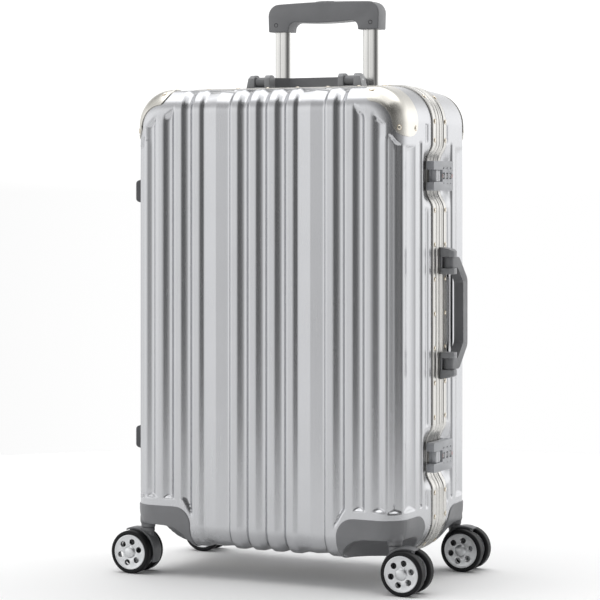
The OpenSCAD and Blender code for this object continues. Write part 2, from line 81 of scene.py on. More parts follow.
def mesh_object(name, verts, faces):
    """A mesh object from vertices in millimetres, welded, with its faces turned outwards."""
    mesh = bpy.data.meshes.new(name)
    mesh.from_pydata([tuple(c * MM for c in v) for v in verts], [], [tuple(f) for f in faces])
    obj = bpy.data.objects.new(name, mesh)
    bpy.context.scene.collection.objects.link(obj)
    bm = bmesh.new()
    bm.from_mesh(mesh)
    bmesh.ops.remove_doubles(bm, verts=bm.verts, dist=1e-6)
    bmesh.ops.recalc_face_normals(bm, faces=bm.faces)
    bm.to_mesh(mesh)
    bm.free()
    return obj


def new_piece(name, verts, faces, body, slot, material, angle=35):
    """A visible piece that rides on a body. Edges that bend by more than the angle stay sharp."""
    obj = mesh_object(name, verts, faces)
    obj.data.materials.append(material)
    shade(obj, angle)
    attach(obj, body)
    return obj


def shade(obj, angle):
    mesh = obj.data
    for p in mesh.polygons:
        p.use_smooth = True
    if "sharp_edge" not in mesh.attributes:
        mesh.attributes.new("sharp_edge", "BOOLEAN", "EDGE")
    bm = bmesh.new()
    bm.from_mesh(mesh)
    limit = math.radians(angle)
    flags = [len(e.link_faces) == 2 and e.calc_face_angle(0) > limit for e in bm.edges]
    bm.free()
    mesh.attributes["sharp_edge"].data.foreach_set("value", flags)


def modify(obj, kind, **settings):
    """Adds one modifier and applies it."""
    mod = obj.modifiers.new(kind, kind)
    for key, value in settings.items():
        setattr(mod, key, value)
    depsgraph = bpy.context.evaluated_depsgraph_get()
    mesh = bpy.data.meshes.new_from_object(obj.evaluated_get(depsgraph))
    obj.modifiers.clear()
    obj.data = mesh


def bevel(obj, width, segments, angle=50):
    """Rounds the edges that bend by more than an angle, over a width in millimetres."""
    modify(obj, "BEVEL", width=width * MM, segments=segments, limit_method="ANGLE",
           angle_limit=math.radians(angle))


def as_lists(mesh):
    """A mesh's vertices in millimetres, and its faces."""
    return ([tuple(c / MM for c in v.co) for v in mesh.vertices], [tuple(p.vertices) for p in mesh.polygons])


def discard(obj):
    mesh = obj.data
    bpy.data.objects.remove(obj)
    bpy.data.meshes.remove(mesh)


def cut(obj, shape, operation="DIFFERENCE"):
    """Takes a closed (verts, faces) shape away from a piece, or joins it on."""
    tool = mesh_object("cutter", *shape)
    modify(obj, "BOOLEAN", object=tool, operation=operation, solver="EXACT")
    discard(tool)


def grid_faces(rows, cols, close_rows=False, close_cols=False):
    """Quads of a rows x cols grid of vertices, row after row."""
    faces = []
    for i in range(rows if close_rows else rows - 1):
        for j in range(cols if close_cols else cols - 1):
            a, b = i * cols + j, i * cols + (j + 1) % cols
            c, d = ((i + 1) % rows) * cols + (j + 1) % cols, ((i + 1) % rows) * cols + j
            faces.append((a, b, c, d))
    return faces


def merge(parts):
    """One (verts, faces) from several."""
    verts, faces = [], []
    for v, f in parts:
        base = len(verts)
        verts.extend(v)
        faces.extend([tuple(i + base for i in face) for face in f])
    return verts, faces


def lathe(profile, segments):
    """Turns (r, z) points about Z. Points with r = 0 close the ends."""
    verts, faces, rings = [], [], []
    for r, z in profile:
        if r < 1e-6:
            rings.append([len(verts)] * segments)
            verts.append((0.0, 0.0, z))
        else:
            rings.append(list(range(len(verts), len(verts) + segments)))
            verts.extend((r * math.cos(2 * math.pi * k / segments),
                          r * math.sin(2 * math.pi * k / segments), z) for k in range(segments))
    for a, b in zip(rings, rings[1:]):
        for k in range(segments):
            quad = [a[k], a[(k + 1) % segments], b[(k + 1) % segments], b[k]]
            face = [v for i, v in enumerate(quad) if v not in quad[:i]]
            if len(face) > 2:
                faces.append(tuple(face))
    return verts, faces


def direction(degrees):
    return math.cos(math.radians(degrees)), math.sin(math.radians(degrees))


def arc(cx, cy, r, a0, a1, n, high=None):
    """Points of a circle from angle a0 to a1 in degrees, or of an ellipse where its height is given."""
    return [(cx + r * c, cy + (high or r) * s)
            for c, s in (direction(a0 + (a1 - a0) * i / n) for i in range(n + 1))]


def shifted(verts, x=0.0, y=0.0, z=0.0):
    return [(vx + x, vy + y, vz + z) for vx, vy, vz in verts]


# ---- materials -------------------------------------------------------------------------------

def material(name, color, metallic, roughness):
    """An empty principled material. Returns (material, nodes, links, shader)."""
    mat = bpy.data.materials.new(name)
    mat.use_nodes = True
    nodes, links = mat.node_tree.nodes, mat.node_tree.links
    shader = nodes["Principled BSDF"]
    shader.inputs["Base Color"].default_value = (*color, 1)
    shader.inputs["Metallic"].default_value = metallic
    shader.inputs["Roughness"].default_value = roughness
    return mat, nodes, links, shader


def noise(nodes, links, scale, detail, stretch=(1, 1, 1)):
    """3-D noise in object space, in cycles per metre, stretched along an axis where it is under 1."""
    coord = nodes.new("ShaderNodeTexCoord")
    mapping = nodes.new("ShaderNodeMapping")
    mapping.inputs["Scale"].default_value = stretch
    tex = nodes.new("ShaderNodeTexNoise")
    tex.inputs["Scale"].default_value = scale
    tex.inputs["Detail"].default_value = detail
    links.new(coord.outputs["Object"], mapping.inputs["Vector"])
    links.new(mapping.outputs["Vector"], tex.inputs["Vector"])
    return tex


def remap(nodes, links, source, low, high):
    """The middle of a noise's range, spread from low to high."""
    node = nodes.new("ShaderNodeMapRange")
    node.inputs["From Min"].default_value = 0.3
    node.inputs["From Max"].default_value = 0.7
    node.inputs["To Min"].default_value = low
    node.inputs["To Max"].default_value = high
    links.new(source, node.inputs["Value"])
    return node.outputs["Result"]


def mix_colors(nodes, links, factor, a, b):
    node = nodes.new("ShaderNodeMix")
    node.data_type = "RGBA"
    node.inputs["A"].default_value = (*a, 1)
    node.inputs["B"].default_value = (*b, 1)
    links.new(factor, node.inputs["Factor"])
    return node.outputs["Result"]


def bump(nodes, links, shader, height, distance):
    node = nodes.new("ShaderNodeBump")
    node.inputs["Distance"].default_value = distance
    links.new(height, node.inputs["Height"])
    links.new(node.outputs["Normal"], shader.inputs["Normal"])


def metal(name, color, roughness, grain=(1, 1, 0.02), grain_scale=900, vary=0.06, wear=0.05, bumps=4e-6):
    """Brushed or anodised metal: fine grain along one axis, cloudy roughness, faint colour shift."""
    mat, nodes, links, shader = material(name, color, 1.0, roughness)
    cloud = noise(nodes, links, 14, 3)
    fine = noise(nodes, links, grain_scale, 2, grain)
    shift = remap(nodes, links, cloud.outputs["Fac"], 0, 1)
    dark = tuple(c * (1 - wear) for c in color)
    links.new(mix_colors(nodes, links, shift, color, dark), shader.inputs["Base Color"])
    add = nodes.new("ShaderNodeMath")
    add.operation = "ADD"
    links.new(remap(nodes, links, cloud.outputs["Fac"], roughness - vary / 2, roughness), add.inputs[0])
    links.new(remap(nodes, links, fine.outputs["Fac"], 0, vary), add.inputs[1])
    links.new(add.outputs["Value"], shader.inputs["Roughness"])
    bump(nodes, links, shader, fine.outputs["Fac"], bumps)
    return mat


def plastic(name, color, roughness, bumps=2.5e-5, specular=0.5):
    """Moulded plastic: spark-eroded grain, slightly cloudy colour and gloss."""
    mat, nodes, links, shader = material(name, color, 0.0, roughness)
    cloud = noise(nodes, links, 25, 4)
    grain = noise(nodes, links, 2200, 3)
    shift = remap(nodes, links, cloud.outputs["Fac"], 0, 1)
    dark = tuple(c * 0.88 for c in color)
    links.new(mix_colors(nodes, links, shift, color, dark), shader.inputs["Base Color"])
    links.new(remap(nodes, links, cloud.outputs["Fac"], roughness - 0.08, roughness + 0.08),
              shader.inputs["Roughness"])
    shader.inputs["Specular IOR Level"].default_value = specular
    bump(nodes, links, shader, grain.outputs["Fac"], bumps)
    return mat


def weave(name, color, thread=0.0006):
    """Plain woven cloth from two crossed bands, with sheen."""
    mat, nodes, links, shader = material(name, color, 0.0, 0.85)
    coord = nodes.new("ShaderNodeTexCoord")
    heights = []
    for axis in ("X", "Z"):
        wave = nodes.new("ShaderNodeTexWave")
        wave.bands_direction = axis
        wave.inputs["Scale"].default_value = 1 / (20 * thread)
        wave.inputs["Distortion"].default_value = 0.6
        links.new(coord.outputs["Object"], wave.inputs["Vector"])
        heights.append(wave.outputs["Fac"])
    both = nodes.new("ShaderNodeMath")
    both.operation = "MULTIPLY"
    links.new(heights[0], both.inputs[0])
    links.new(heights[1], both.inputs[1])
    light = tuple(min(1, c * 1.5) for c in color)
    links.new(mix_colors(nodes, links, both.outputs["Value"], color, light), shader.inputs["Base Color"])
    shader.inputs["Sheen Weight"].default_value = 0.3
    bump(nodes, links, shader, both.outputs["Value"], thread / 3)
    return mat


SHELL = metal("shell_silver", (0.515, 0.52, 0.535), 0.25, (1, 1, 0.03), 500, vary=0.03, wear=0.03, bumps=3e-7)
FRAME_METAL = metal("frame_aluminium", (0.60, 0.59, 0.565), 0.26)
CAP_METAL = metal("cap_polished", (0.68, 0.66, 0.61), 0.24, grain=(1, 1, 1), grain_scale=700, bumps=2e-6)
RIVET_METAL = metal("rivet_nickel", (0.74, 0.70, 0.62), 0.2, grain=(1, 1, 1), bumps=2e-6)
BRASS = metal("rivet_edge_brass", (0.45, 0.33, 0.18), 0.35, grain=(1, 1, 1), bumps=2e-6)
TUBE_METAL = metal("tube_anodised", (0.62, 0.615, 0.60), 0.20, vary=0.04, bumps=1e-6)
STEEL = metal("hinge_steel", (0.55, 0.55, 0.56), 0.3)
GREY = plastic("grey_moulded", (0.185, 0.188, 0.196), 0.40)
LUG_GREY = plastic("lug_moulded", (0.27, 0.275, 0.285), 0.36)
GRIP_GREY = plastic("grip_moulded", (0.175, 0.178, 0.186), 0.43)
LOCK_GREY = plastic("lock_satin", (0.40, 0.41, 0.43), 0.38, bumps=8e-6)
LATCH_GREY = plastic("latch_satin", (0.55, 0.56, 0.58), 0.34, bumps=6e-6)
DIAL_GREY = plastic("dial_light", (0.62, 0.62, 0.62), 0.4, bumps=6e-6)
DARK = plastic("dark_moulded", (0.035, 0.036, 0.040), 0.5)
FOOT = plastic("foot_moulded", (0.07, 0.072, 0.078), 0.5)
# Black: painted shade in the lock's slots and wells, and the colour of the grip's black screws.
SHADE_AND_SCREW_BLACK = plastic("painted_shade_and_screw_black", (0.008, 0.008, 0.009), 0.6)
RUBBER = plastic("seal_rubber", (0.02, 0.02, 0.02), 0.65)
TYRE = plastic("tyre_rubber", (0.008, 0.008, 0.009), 0.45, bumps=3e-5, specular=0.2)
HUB = metal("hub_silver", (0.62, 0.63, 0.64), 0.3, grain=(1, 1, 1), grain_scale=600, bumps=3e-6)
MARK_RED = plastic("mark_red", (0.55, 0.10, 0.07), 0.45, bumps=5e-6)
DIGIT_DARK = plastic("digit_dark", (0.02, 0.02, 0.02), 0.5, bumps=5e-6)
LINING = weave("lining_weave", (0.055, 0.058, 0.07))
WEBBING = weave("webbing_weave", (0.03, 0.03, 0.035), 0.0012)


# ---- the shell's surface ---------------------------------------------------------------------
# A square net (p, q) is laid over a half like a sheet over a tray: flat on the face, down the four
# sides, with the net's corner blocks turned round the case's corners. All of it in millimetres.

ARC_S = CORNER_R - RIM_INSET - DRAFT - EDGE_R       # where the edge rounding starts
WALL_S = ARC_S + EDGE_R * math.pi / 2               # where the straight side starts
WALL_T = HALF_D - EDGE_R


def section(s, t_edge):
    """Radius, depth and normal (radial, depth) at s along the section from a corner's centre."""
    s = np.asarray(s, float)
    theta = np.clip((WALL_S - s) / EDGE_R, 0, math.pi / 2)
    t_wall = WALL_T - np.maximum(s - WALL_S, 0)
    r_wall = ARC_S + EDGE_R + DRAFT * np.clip((WALL_T - t_wall) / (WALL_T - t_edge), 0, 1)
    on_arc = s <= WALL_S
    r = np.where(s < ARC_S, s, np.where(on_arc, ARC_S + EDGE_R * np.cos(theta), r_wall))
    t = np.where(s < ARC_S, HALF_D, np.where(on_arc, WALL_T + EDGE_R * np.sin(theta), t_wall))
    return r, t, np.where(s < ARC_S, 0.0, np.cos(theta)), np.where(s < ARC_S, 1.0, np.sin(theta))


def s_at_depth(t):
    return WALL_S + WALL_T - t


def base(p, q, t_edge):
    """Point (x, depth, z from the middle), its normal, and s, of the net's point (p, q)."""
    sx, sz = np.maximum(np.abs(p) - HX, 0), np.maximum(np.abs(q) - HZ, 0)
    s = np.maximum(sx, sz)
    safe = np.maximum(s, 1e-9)
    phi = np.where(sx >= sz, math.pi / 4 * sz / safe, math.pi / 2 - math.pi / 4 * sx / safe)
    r, t, nr, nt = section(s, t_edge)
    across, up = (sx > 0) | (s == 0), (sz > 0) | (s == 0)
    x = np.where(sx > 0, HX + r * np.cos(phi), np.abs(p))
    z = np.where(sz > 0, HZ + r * np.sin(phi), np.abs(q))
    right, above = np.sign(p), np.sign(q)
    normal = np.stack([nr * np.cos(phi) * across * right, nt, nr * np.sin(phi) * up * above], -1)
    return np.stack([x * right, t, z * above], -1), normal, s


PITCH, GROOVE_W, GROOVE_DEEP = 28.8, 20.4, 4.9
OUTER = (117.0, 146.0, 175.0)                       # middles of the outer narrow grooves
NARROW = [i * PITCH for i in (-1, 0, 1)] + [s * c for s in (-1, 1) for c in OUTER]
PANEL, PANEL_HALF = 72.5, 22.5
GROOVE_LOW = HOUSING_TOP + 14
CORNER_GROOVE = (31.0, 54.0, 55.2, s_at_depth(71.0))  # two, along the section, with a crest between them
CREASE = 42.5
SIDE_GROOVES = ((60.5, 50.0), (42.5, 29.5))         # in depth, on the left and right sides
TOP_ENDS = {146.0: CASE_TOP - 37, 175.0: CASE_TOP - 49}  # height of a groove's slanting top end


def trough(inside, half, depth, lip=3.2):
    """Depth of a pressed groove at a distance inside its edge: a round lip, then a hollow floor."""
    lip = min(lip, half * 0.35)
    v = np.clip(inside, 0, half)
    bent = np.where(v < lip, v * v / (2 * lip), v - lip / 2 - (v - lip) ** 2 / (2 * (half - lip)))
    return depth * bent / (half / 2)


def ribs(point, s, p, q, t_edge):
    """How deep the pressed grooves are at each point of the net."""
    x, t, z = point[..., 0], point[..., 1], point[..., 2] + ZC
    on_front = smooth(CORNER_GROOVE[0] + 1, CORNER_GROOVE[0] - 1, np.abs(p) - HX)
    near_frame = smooth(t_edge + 3, t_edge + 8, t)
    depth = np.zeros_like(x)
    for c in NARROW:
        half = GROOVE_W / 2
        out = np.abs(x) - abs(c)
        ends = np.full_like(x, 1e3)
        first = abs(c) == OUTER[0]                      # slants further down and fades more slowly
        if abs(c) in OUTER:
            low = GROOVE_LOW - 4 - (24 * smooth(half, -half, out) if first else 0)
            ends = (0.9 if first else 1.5) * (z - low)
        if abs(c) in TOP_ENDS:
            ends = np.minimum(ends, 1.3 * (TOP_ENDS[abs(c)] - 0.8 * out - z))
        groove = trough(np.minimum(half - np.abs(x - c), ends) * (x * c > -1), half, GROOVE_DEEP)
        depth = np.maximum(depth, groove)
    for c in (-PANEL, PANEL):
        distance = np.abs(x - c)
        ridge = 2.0 + 2.2 * np.clip(distance / PANEL_HALF, 0, 1)
        depth = np.maximum(depth, ridge * smooth(PANEL_HALF + 2.5, PANEL_HALF - 3.5, distance))
    depth = depth * on_front * near_frame
    # Two grooves round each upright corner with a crest between them, and the narrow ones behind it.
    upright = (np.abs(q) < HZ) * (np.abs(p) > HX)
    low = GROOVE_LOW - 5
    ends = np.minimum(z - low, CASE_TOP - 70 - 15 * smooth(31, 54, s) - z)
    fade = smooth(0, 14, ends)
    for s0, s1, deep in (CORNER_GROOVE[:2] + (4.3,), CORNER_GROOVE[2:] + (3.6,)):
        half = (s1 - s0) / 2
        inside = np.minimum(half - np.abs(s - (s0 + s1) / 2), ends * 2.2)
        depth = np.maximum(depth, trough(inside, half, deep, 2.2) * upright)
    # A crease along the first of them, and a flat crest in front of it.
    depth = depth + 0.8 * np.maximum(0, 1 - np.abs(s - CREASE) / 1.8) * upright * fade
    turned = np.clip((s - ARC_S) / EDGE_R, 0, 0.5)
    depth = depth - EDGE_R * (1 - np.cos(turned)) * smooth(33.5, 29.5, s) * upright * fade
    for front, back in SIDE_GROOVES:
        mid, half = (front + back) / 2, (front - back) / 2
        gap = np.minimum(z - low, CASE_TOP - 78 - z)
        if half > 6:
            gap = np.minimum(z - low + 4, CASE_TOP - 30 - z)
            for lz in LOCK_ZS:
                gap = np.minimum(gap, np.where(x > 0, np.abs(z - lz) - DIP_MOUTH + 2, 1e3))
        end = np.maximum(half - gap, 0)
        inside = half - np.hypot(t - mid, end)
        depth = np.maximum(depth, trough(inside, half, 1.8 if half > 6 else 2.6) * upright)
    return depth


def lock_dip(z, t, t_edge):
    """How far the frame and the shells are pressed in round a lock."""
    total = 0
    for lz in LOCK_ZS:
        total = total + smooth(DIP_MOUTH, DIP_FLOOR, np.abs(z - lz))
    return DIP * total * smooth(t_edge + 32, t_edge + 3, t)


def net_dip(point, normal, q, t_edge):
    """The same for a net's points: only those on the right side move."""
    dip = lock_dip(point[..., 2] + ZC, point[..., 1], t_edge)
    return dip * np.clip(normal[..., 0], 0, 1) * (np.abs(q) < HZ + 20)


def spaced(stops, breaks, coarse, fine, reach):
    """Lines from the first stop to the last: a coarse spacing, and a fine one near each break."""
    low, high = stops
    lines, here = [low], low
    while here < high - 1e-6:
        gap = min((abs(here + fine / 2 - b) for b in breaks), default=1e9)
        step = fine if gap < reach else min(coarse, max(fine, (gap - reach) * 0.9 + fine))
        here = min(high, here + step)
        lines.append(here)
    return lines


def shell_lines(t_edge, t_end):
    """The net's lines across (p) and up (q)."""
    breaks = [s_at_depth(t) + k for pair in SIDE_GROOVES for t, k in zip(pair, (1, -1))]
    first, end, start, last = CORNER_GROOVE
    breaks += [first + 1.5, CREASE, (end + start) / 2, last - 1.5]
    side = spaced((0, s_at_depth(t_end)), breaks, 3.2, 0.9, 2.2)
    edges = [c + k * (GROOVE_W / 2 - 2.6) for c in NARROW for k in (-1, 1)]
    edges += [c + k * (PANEL_HALF - 0.5) for c in (-PANEL, PANEL) for k in (-1, 1)]
    flat = spaced((-HX, HX), [e for e in edges if abs(e) < HX] + [-PANEL, PANEL], 2.0, 0.75, 1.9)
    p = [-HX - s for s in reversed(side[1:])] + flat + [HX + s for s in side[1:]]
    up = spaced((0, s_at_depth(t_end)), [s_at_depth(t_edge + 5.5)], 3.6, 1.6, 3.0)
    z_breaks = [GROOVE_LOW + 7 - k * 5 for k in range(8)] + [CASE_TOP - 32 - k * 5 for k in range(12)]
    z_breaks += [lz + k * d for lz in LOCK_ZS for k in (-1, 1) for d in (26, 33, 42)]
    middle = spaced((-HZ, HZ), [z - ZC for z in z_breaks], 9.0, 1.4, 4.0)
    q = [-HZ - s for s in reversed(up[1:])] + middle + [HZ + s for s in up[1:]]
    return np.array(p), np.array(q)


def housing_edge(p):
    """Height of a wheel housing's upper edge at the net's line p, with rounded ends."""
    start, end = 112.0, HX + s_at_depth(40.0)
    inner = np.minimum(np.abs(p) - start, end - np.abs(p))
    r = 25.0
    drop = r - np.sqrt(np.maximum(r * r - np.maximum(r - inner, 0) ** 2, 0))
    return np.where(inner > 0, HOUSING_TOP - drop, -1e3)


def to_case(point, side):
    """From (x, depth, z from the middle) to the case's own X, Y, Z; side is -1 in front, 1 behind."""
    return np.stack([point[..., 0], side * point[..., 1], point[..., 2] + ZC], -1)


def add_shell(name, body, side, t_edge, t_end):
    p, q = shell_lines(t_edge, t_end)
    pp, qq = np.meshgrid(p, q, indexing="ij")
    point, normal, s = base(pp, qq, t_edge)
    shaped = point - normal * ribs(point, s, pp, qq, t_edge)[..., None]
    shaped[..., 0] -= net_dip(shaped, normal, qq, t_edge)
    x, t, z = shaped[..., 0], shaped[..., 1], shaped[..., 2] + ZC
    verts = to_case(shaped, side).reshape(-1, 3)
    # Open where the wheel housings close the lower corners, and round the trolley's bezel.
    hidden = (z < housing_edge(pp) - 3) & (t > 43) & (np.abs(pp) > 115)
    if side > 0:
        low, high = node_mm("trolley_bezel")
        hidden |= ((x > low[0] + 2) & (x < high[0] - 2) & (t > low[1] + 2) & (t < high[1] - 2)
                   & (z > CASE_TOP - 40))
    flags = hidden.reshape(-1)
    faces = [f for f in grid_faces(len(p), len(q)) if not all(flags[i] for i in f)]
    used = sorted({i for f in faces for i in f})
    index = {v: i for i, v in enumerate(used)}
    faces = [tuple(index[i] for i in f) for f in faces]
    obj = new_piece(name, verts[used], faces, body, "shell", SHELL, 60)
    # The wall grows inwards, whichever way the open sheet's faces were turned.
    face = obj.data.polygons[len(obj.data.polygons) // 2]
    outward = face.normal.dot(face.center - Vector((0, 0, ZC * MM))) > 0
    modify(obj, "SOLIDIFY", thickness=0.002, offset=-1.0 if outward else 1.0)
    shade(obj, 42)
    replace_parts(obj, name)


add_shell("front_shell", "lid", -1, FRONT_EDGE, 8)
add_shell("rear_shell", "root", 1, REAR_EDGE, 21)


# ---- the frames, rivets and corner caps ------------------------------------------------------

def rim_path(step=26.0, turns=14):
    """Samples round the case: x, z on the core rectangle, outward angle in degrees, on the right or not."""
    path = []
    fine = [lz + k for lz in LOCK_ZS for k in np.arange(-48, 48.1, 3.0)]
    plain = [z for z in np.arange(ZC - HZ + step, ZC + HZ - step / 2, step)
             if all(abs(z - lz) > 52 for lz in LOCK_ZS)]
    for z in sorted(fine + plain):
        path.append((HX, z, 0, True))
    for x0, z0, start in ((HX, ZC + HZ, 0), (-HX, ZC + HZ, 90), (-HX, ZC - HZ, 180), (HX, ZC - HZ, 270)):
        for k in range(turns + 1):
            path.append((x0, z0, start + 90 * k / turns, False))
        if start in (0, 180):
            sign = 1 if start == 0 else -1
            path += [(sign * x, z0, start + 90, False) for x in np.arange(HX - step, -HX + 1, -step)]
        elif start == 90:
            path += [(x0, z, 180, False) for z in np.arange(ZC + HZ - step, ZC - HZ + 1, -step)]
    return path


def rim_push(z):
    return float(lock_dip(z, np.float64(0), 0))


def sweep_rim(profile):
    """A profile of (inset, y) points swept round the case, with the recesses at the locks."""
    path = rim_path()
    verts = []
    for x0, z0, angle, right in path:
        c, s = direction(angle)
        x0 -= rim_push(z0) if right else 0
        for inset, y in profile:
            r = CORNER_R - inset
            verts.append((x0 + r * c, y, z0 + r * s))
    return verts, grid_faces(len(path), len(profile), close_rows=True, close_cols=True)


def bead(y0, y1, edge, crest):
    """A rounded bead between y0 and y1 of a frame's profile, from the insets of its edge and crest."""
    return [(edge + (crest - edge) * math.sin(math.pi * i / 8) ** 0.7, y0 + (y1 - y0) * i / 8)
            for i in range(9)]


FRONT_PROFILE = ([(2.0, -20.0), (1.0, -20.0), (0.45, -19.8), (0.2, -19.3), (0.15, -18.6), (0.1, -14.0),
                  (0.15, -9.6), (0.3, -9.2), (0.75, -8.9), (0.75, -8.5)] + bead(-8.2, 1.2, 0.6, -0.5)
                 + [(1.4, 1.5), (12.0, 1.5), (12.0, -5.5), (2.2, -5.5)])
REAR_PROFILE = ([(12.0, 3.1), (1.9, 3.1)] + bead(3.5, 10.0, 1.3, 0.35) + bead(10.5, 17.0, 1.3, 0.35)
                + [(1.5, 17.4), (0.7, 18.0), (0.2, 18.5), (0.1, 24.0), (0.2, 28.2), (0.5, 28.8), (1.0, 29.0),
                   (2.0, 29.0), (2.0, 18.0), (12.0, 18.0)])


def add_frame(node, profile, inner, body):
    verts, faces = merge([sweep_rim(profile), sweep_rim(inner)])
    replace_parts(new_piece(node + "_sections", verts, faces, body, "frame_metal", FRAME_METAL, 38), node)


add_frame("front_frame", FRONT_PROFILE, [(4.4, -18), (4.4, -5.2), (6.4, -5.2), (6.4, -18)], "lid")
add_frame("rear_frame", REAR_PROFILE, [(4.4, 27), (4.4, 17.9), (6.4, 17.9), (6.4, 27)], "root")


def placed(verts, origin, normal):
    """Vertices made about +Z moved to origin with +Z along normal."""
    turn = Vector((0, 0, 1)).rotation_difference(Vector(normal))
    return [tuple(turn @ Vector(v) + Vector(origin)) for v in verts]


DOME = lathe([(3.05, -0.3), (3.05, 0.12), (2.7, 0.3), (2.62, 0.42), (2.3, 0.72), (1.7, 1.0), (0.9, 1.16),
              (0, 1.2)], 20)
RIM = lathe([(3.3, -0.3), (3.3, 0.08), (3.15, 0.22), (2.85, 0.24), (2.7, 0.1), (2.7, -0.3)], 20)


RIVET_PITCH = 47.5


def rivet_spots(y):
    """(origin, normal) of each rivet in a row round the case."""
    top, steps = HZ + CORNER_R, [k * RIVET_PITCH for k in range(-3, 4)]
    up = [HANDLE_MID + step for step in steps] + [92, 125, 610, 636]
    spots = [((s * HALF_W, y, z), (s, 0, 0)) for z in up for s in (-1, 1)]
    spots += [((step, y, ZC + s * top), (0, 0, s)) for step in steps for s in (-1, 1)]
    half = math.sqrt(0.5)
    reach = CORNER_R * half
    spots += [((sx * (HX + reach), y, ZC + sz * (HZ + reach)), (sx * half, 0, sz * half))
              for sx in (-1, 1) for sz in (-1, 1)]
    return spots


def add_rivets(name, spots, body, node=None, scale=1.0):
    """Domed heads, with their darker pressed rims as a piece of their own."""
    for suffix, (verts, faces), mat in (("_heads", DOME, RIVET_METAL), ("_rims", RIM, BRASS)):
        parts = [(placed([tuple(c * scale for c in v) for v in verts], o, n), faces) for o, n in spots]
        obj = new_piece(name + suffix, *merge(parts), body, "rivet_metal", mat, 30)
        if node:
            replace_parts(obj, node)


add_rivets("front_rivet", rivet_spots(-14), "lid", "front_rivets")
add_rivets("rear_rivet", rivet_spots(24), "root", "rear_rivets")

TIP_X, TIP_Z = 149.0, 613.0


def cap_path():
    """(core x, core z, angle, distance from the nearer tip) along a cap, from its top arm to its side arm."""
    arm, turn = HX - TIP_X, CORNER_R * math.pi / 2
    total = arm + turn + ZC + HZ - TIP_Z
    ends = np.arange(0, 20, 1.0)
    steps = sorted({round(t, 2) for t in [*ends, *np.arange(20, total - 20, 4.0), *(total - ends)]})
    path = []
    for t in steps:
        d = min(t, total - t)
        if t < arm:
            path.append((TIP_X + t, ZC + HZ, 90.0, d))
        elif t <= arm + turn:
            path.append((HX, ZC + HZ, 90 - 90 * (t - arm) / turn, d))
        else:
            path.append((HX, ZC + HZ - (t - arm - turn), 0.0, d))
    return path


def on_skin(x0, z0, angle, s, lift, t_edge):
    """A point at s along the section, at an angle about a point of the core rectangle, and its normal."""
    r, t, nr, nt = (float(v) for v in section(s, t_edge))
    c, si = direction(angle)
    r, t = r + nr * lift, t + nt * lift
    return (x0 + r * c, t, z0 + r * si), (nr * c, nt, nr * si)


def s_of_radius(r):
    return WALL_S - EDGE_R * math.acos(min(1, max(0, (r - ARC_S) / EDGE_R)))


def cap_span(angle, d, start):
    """Where a cap starts and ends along the section, rounded off near its tips."""
    side_share = angle / 90
    s_in = s_of_radius(37.0 * (1 - side_share) + 28.0 * side_share)
    s_out = s_at_depth(start)
    share = (1 - (1 - min(1.0, d / 21.0)) ** 2.6) ** (1 / 2.2)
    middle = (s_in + s_out) / 2
    return middle - (middle - s_in) * share, middle + (s_out - middle) * share


def add_caps(name, side, t_edge, start, body):
    """Both caps of one half, starting at a distance from the parting line."""
    path, cols = cap_path(), 21
    across = [0.5 - 0.5 * math.cos(math.pi * j / (cols - 1)) for j in range(cols)]
    parts, spots = [], []
    for sx in (-1, 1):
        verts = []
        for x0, z0, angle, d in path:
            s0, s1 = cap_span(angle, d, start)
            for f, lift in [(f, 1.45) for f in across] + [(f, 0.15) for f in reversed(across)]:
                x, y, z = on_skin(x0, z0, angle, s0 + (s1 - s0) * f, lift, t_edge)[0]
                verts.append((sx * x, side * y, z))
        parts.append((verts, grid_faces(len(path), 2 * cols, close_cols=True)))
        for z0, angle in ((ZC + HZ, 84.0), (TIP_Z + 12, 0.0)):
            for s in (s_at_depth(112.0) - 3, s_at_depth(start + 8.0)):
                spots.append([(sx * x, side * y, z) for x, y, z in on_skin(HX, z0, angle, s, 1.35, t_edge)])
    obj = new_piece(name + "_pressings", *merge(parts), body, "cap_metal", CAP_METAL, 50)
    bevel(obj, 0.45, 2)
    shade(obj, 40)
    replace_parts(obj, name)
    add_rivets(name + "_rivet", spots, body, scale=1.15)


add_caps("front_corner_caps", -1, FRONT_EDGE, 67.0, "lid")
add_caps("rear_corner_caps", 1, REAR_EDGE, 106.5, "root")


# ---- moulded pieces --------------------------------------------------------------------------

def hull(points):
    """A mesh object round all the points, in millimetres."""
    bm = bmesh.new()
    for p in points:
        bm.verts.new([c * MM for c in p])
    result = bmesh.ops.convex_hull(bm, input=bm.verts)
    inside = {g for g in result["geom_interior"] + result["geom_unused"] if isinstance(g, bmesh.types.BMVert)}
    bmesh.ops.delete(bm, geom=list(inside), context="VERTS")
    bmesh.ops.recalc_face_normals(bm, faces=bm.faces)
    mesh = bpy.data.meshes.new("hull")
    bm.to_mesh(mesh)
    bm.free()
    obj = bpy.data.objects.new("hull", mesh)
    bpy.context.scene.collection.objects.link(obj)
    return obj


def prism(outline, a, b, axes):
    """A 2-D outline extruded from a to b. axes names the outline's two axes and the extrusion's."""
    order = ["XYZ".index(c) for c in axes]
    verts = []
    for h in (a, b):
        for u, v in outline:
            p = [0, 0, 0]
            p[order[0]], p[order[1]], p[order[2]] = u, v, h
            verts.append(tuple(p))
    n = len(outline)
    faces = [tuple(range(n)), tuple(range(2 * n - 1, n - 1, -1))]
    faces += [(i, (i + 1) % n, n + (i + 1) % n, n + i) for i in range(n)]
    return verts, faces


def box(x0, x1, y0, y1, z0, z1):
    return prism(oblong(x0, x1, y0, y1), z0, z1, "XYZ")


def oblong(u0, u1, v0, v1):
    return [(u0, v0), (u1, v0), (u1, v1), (u0, v1)]


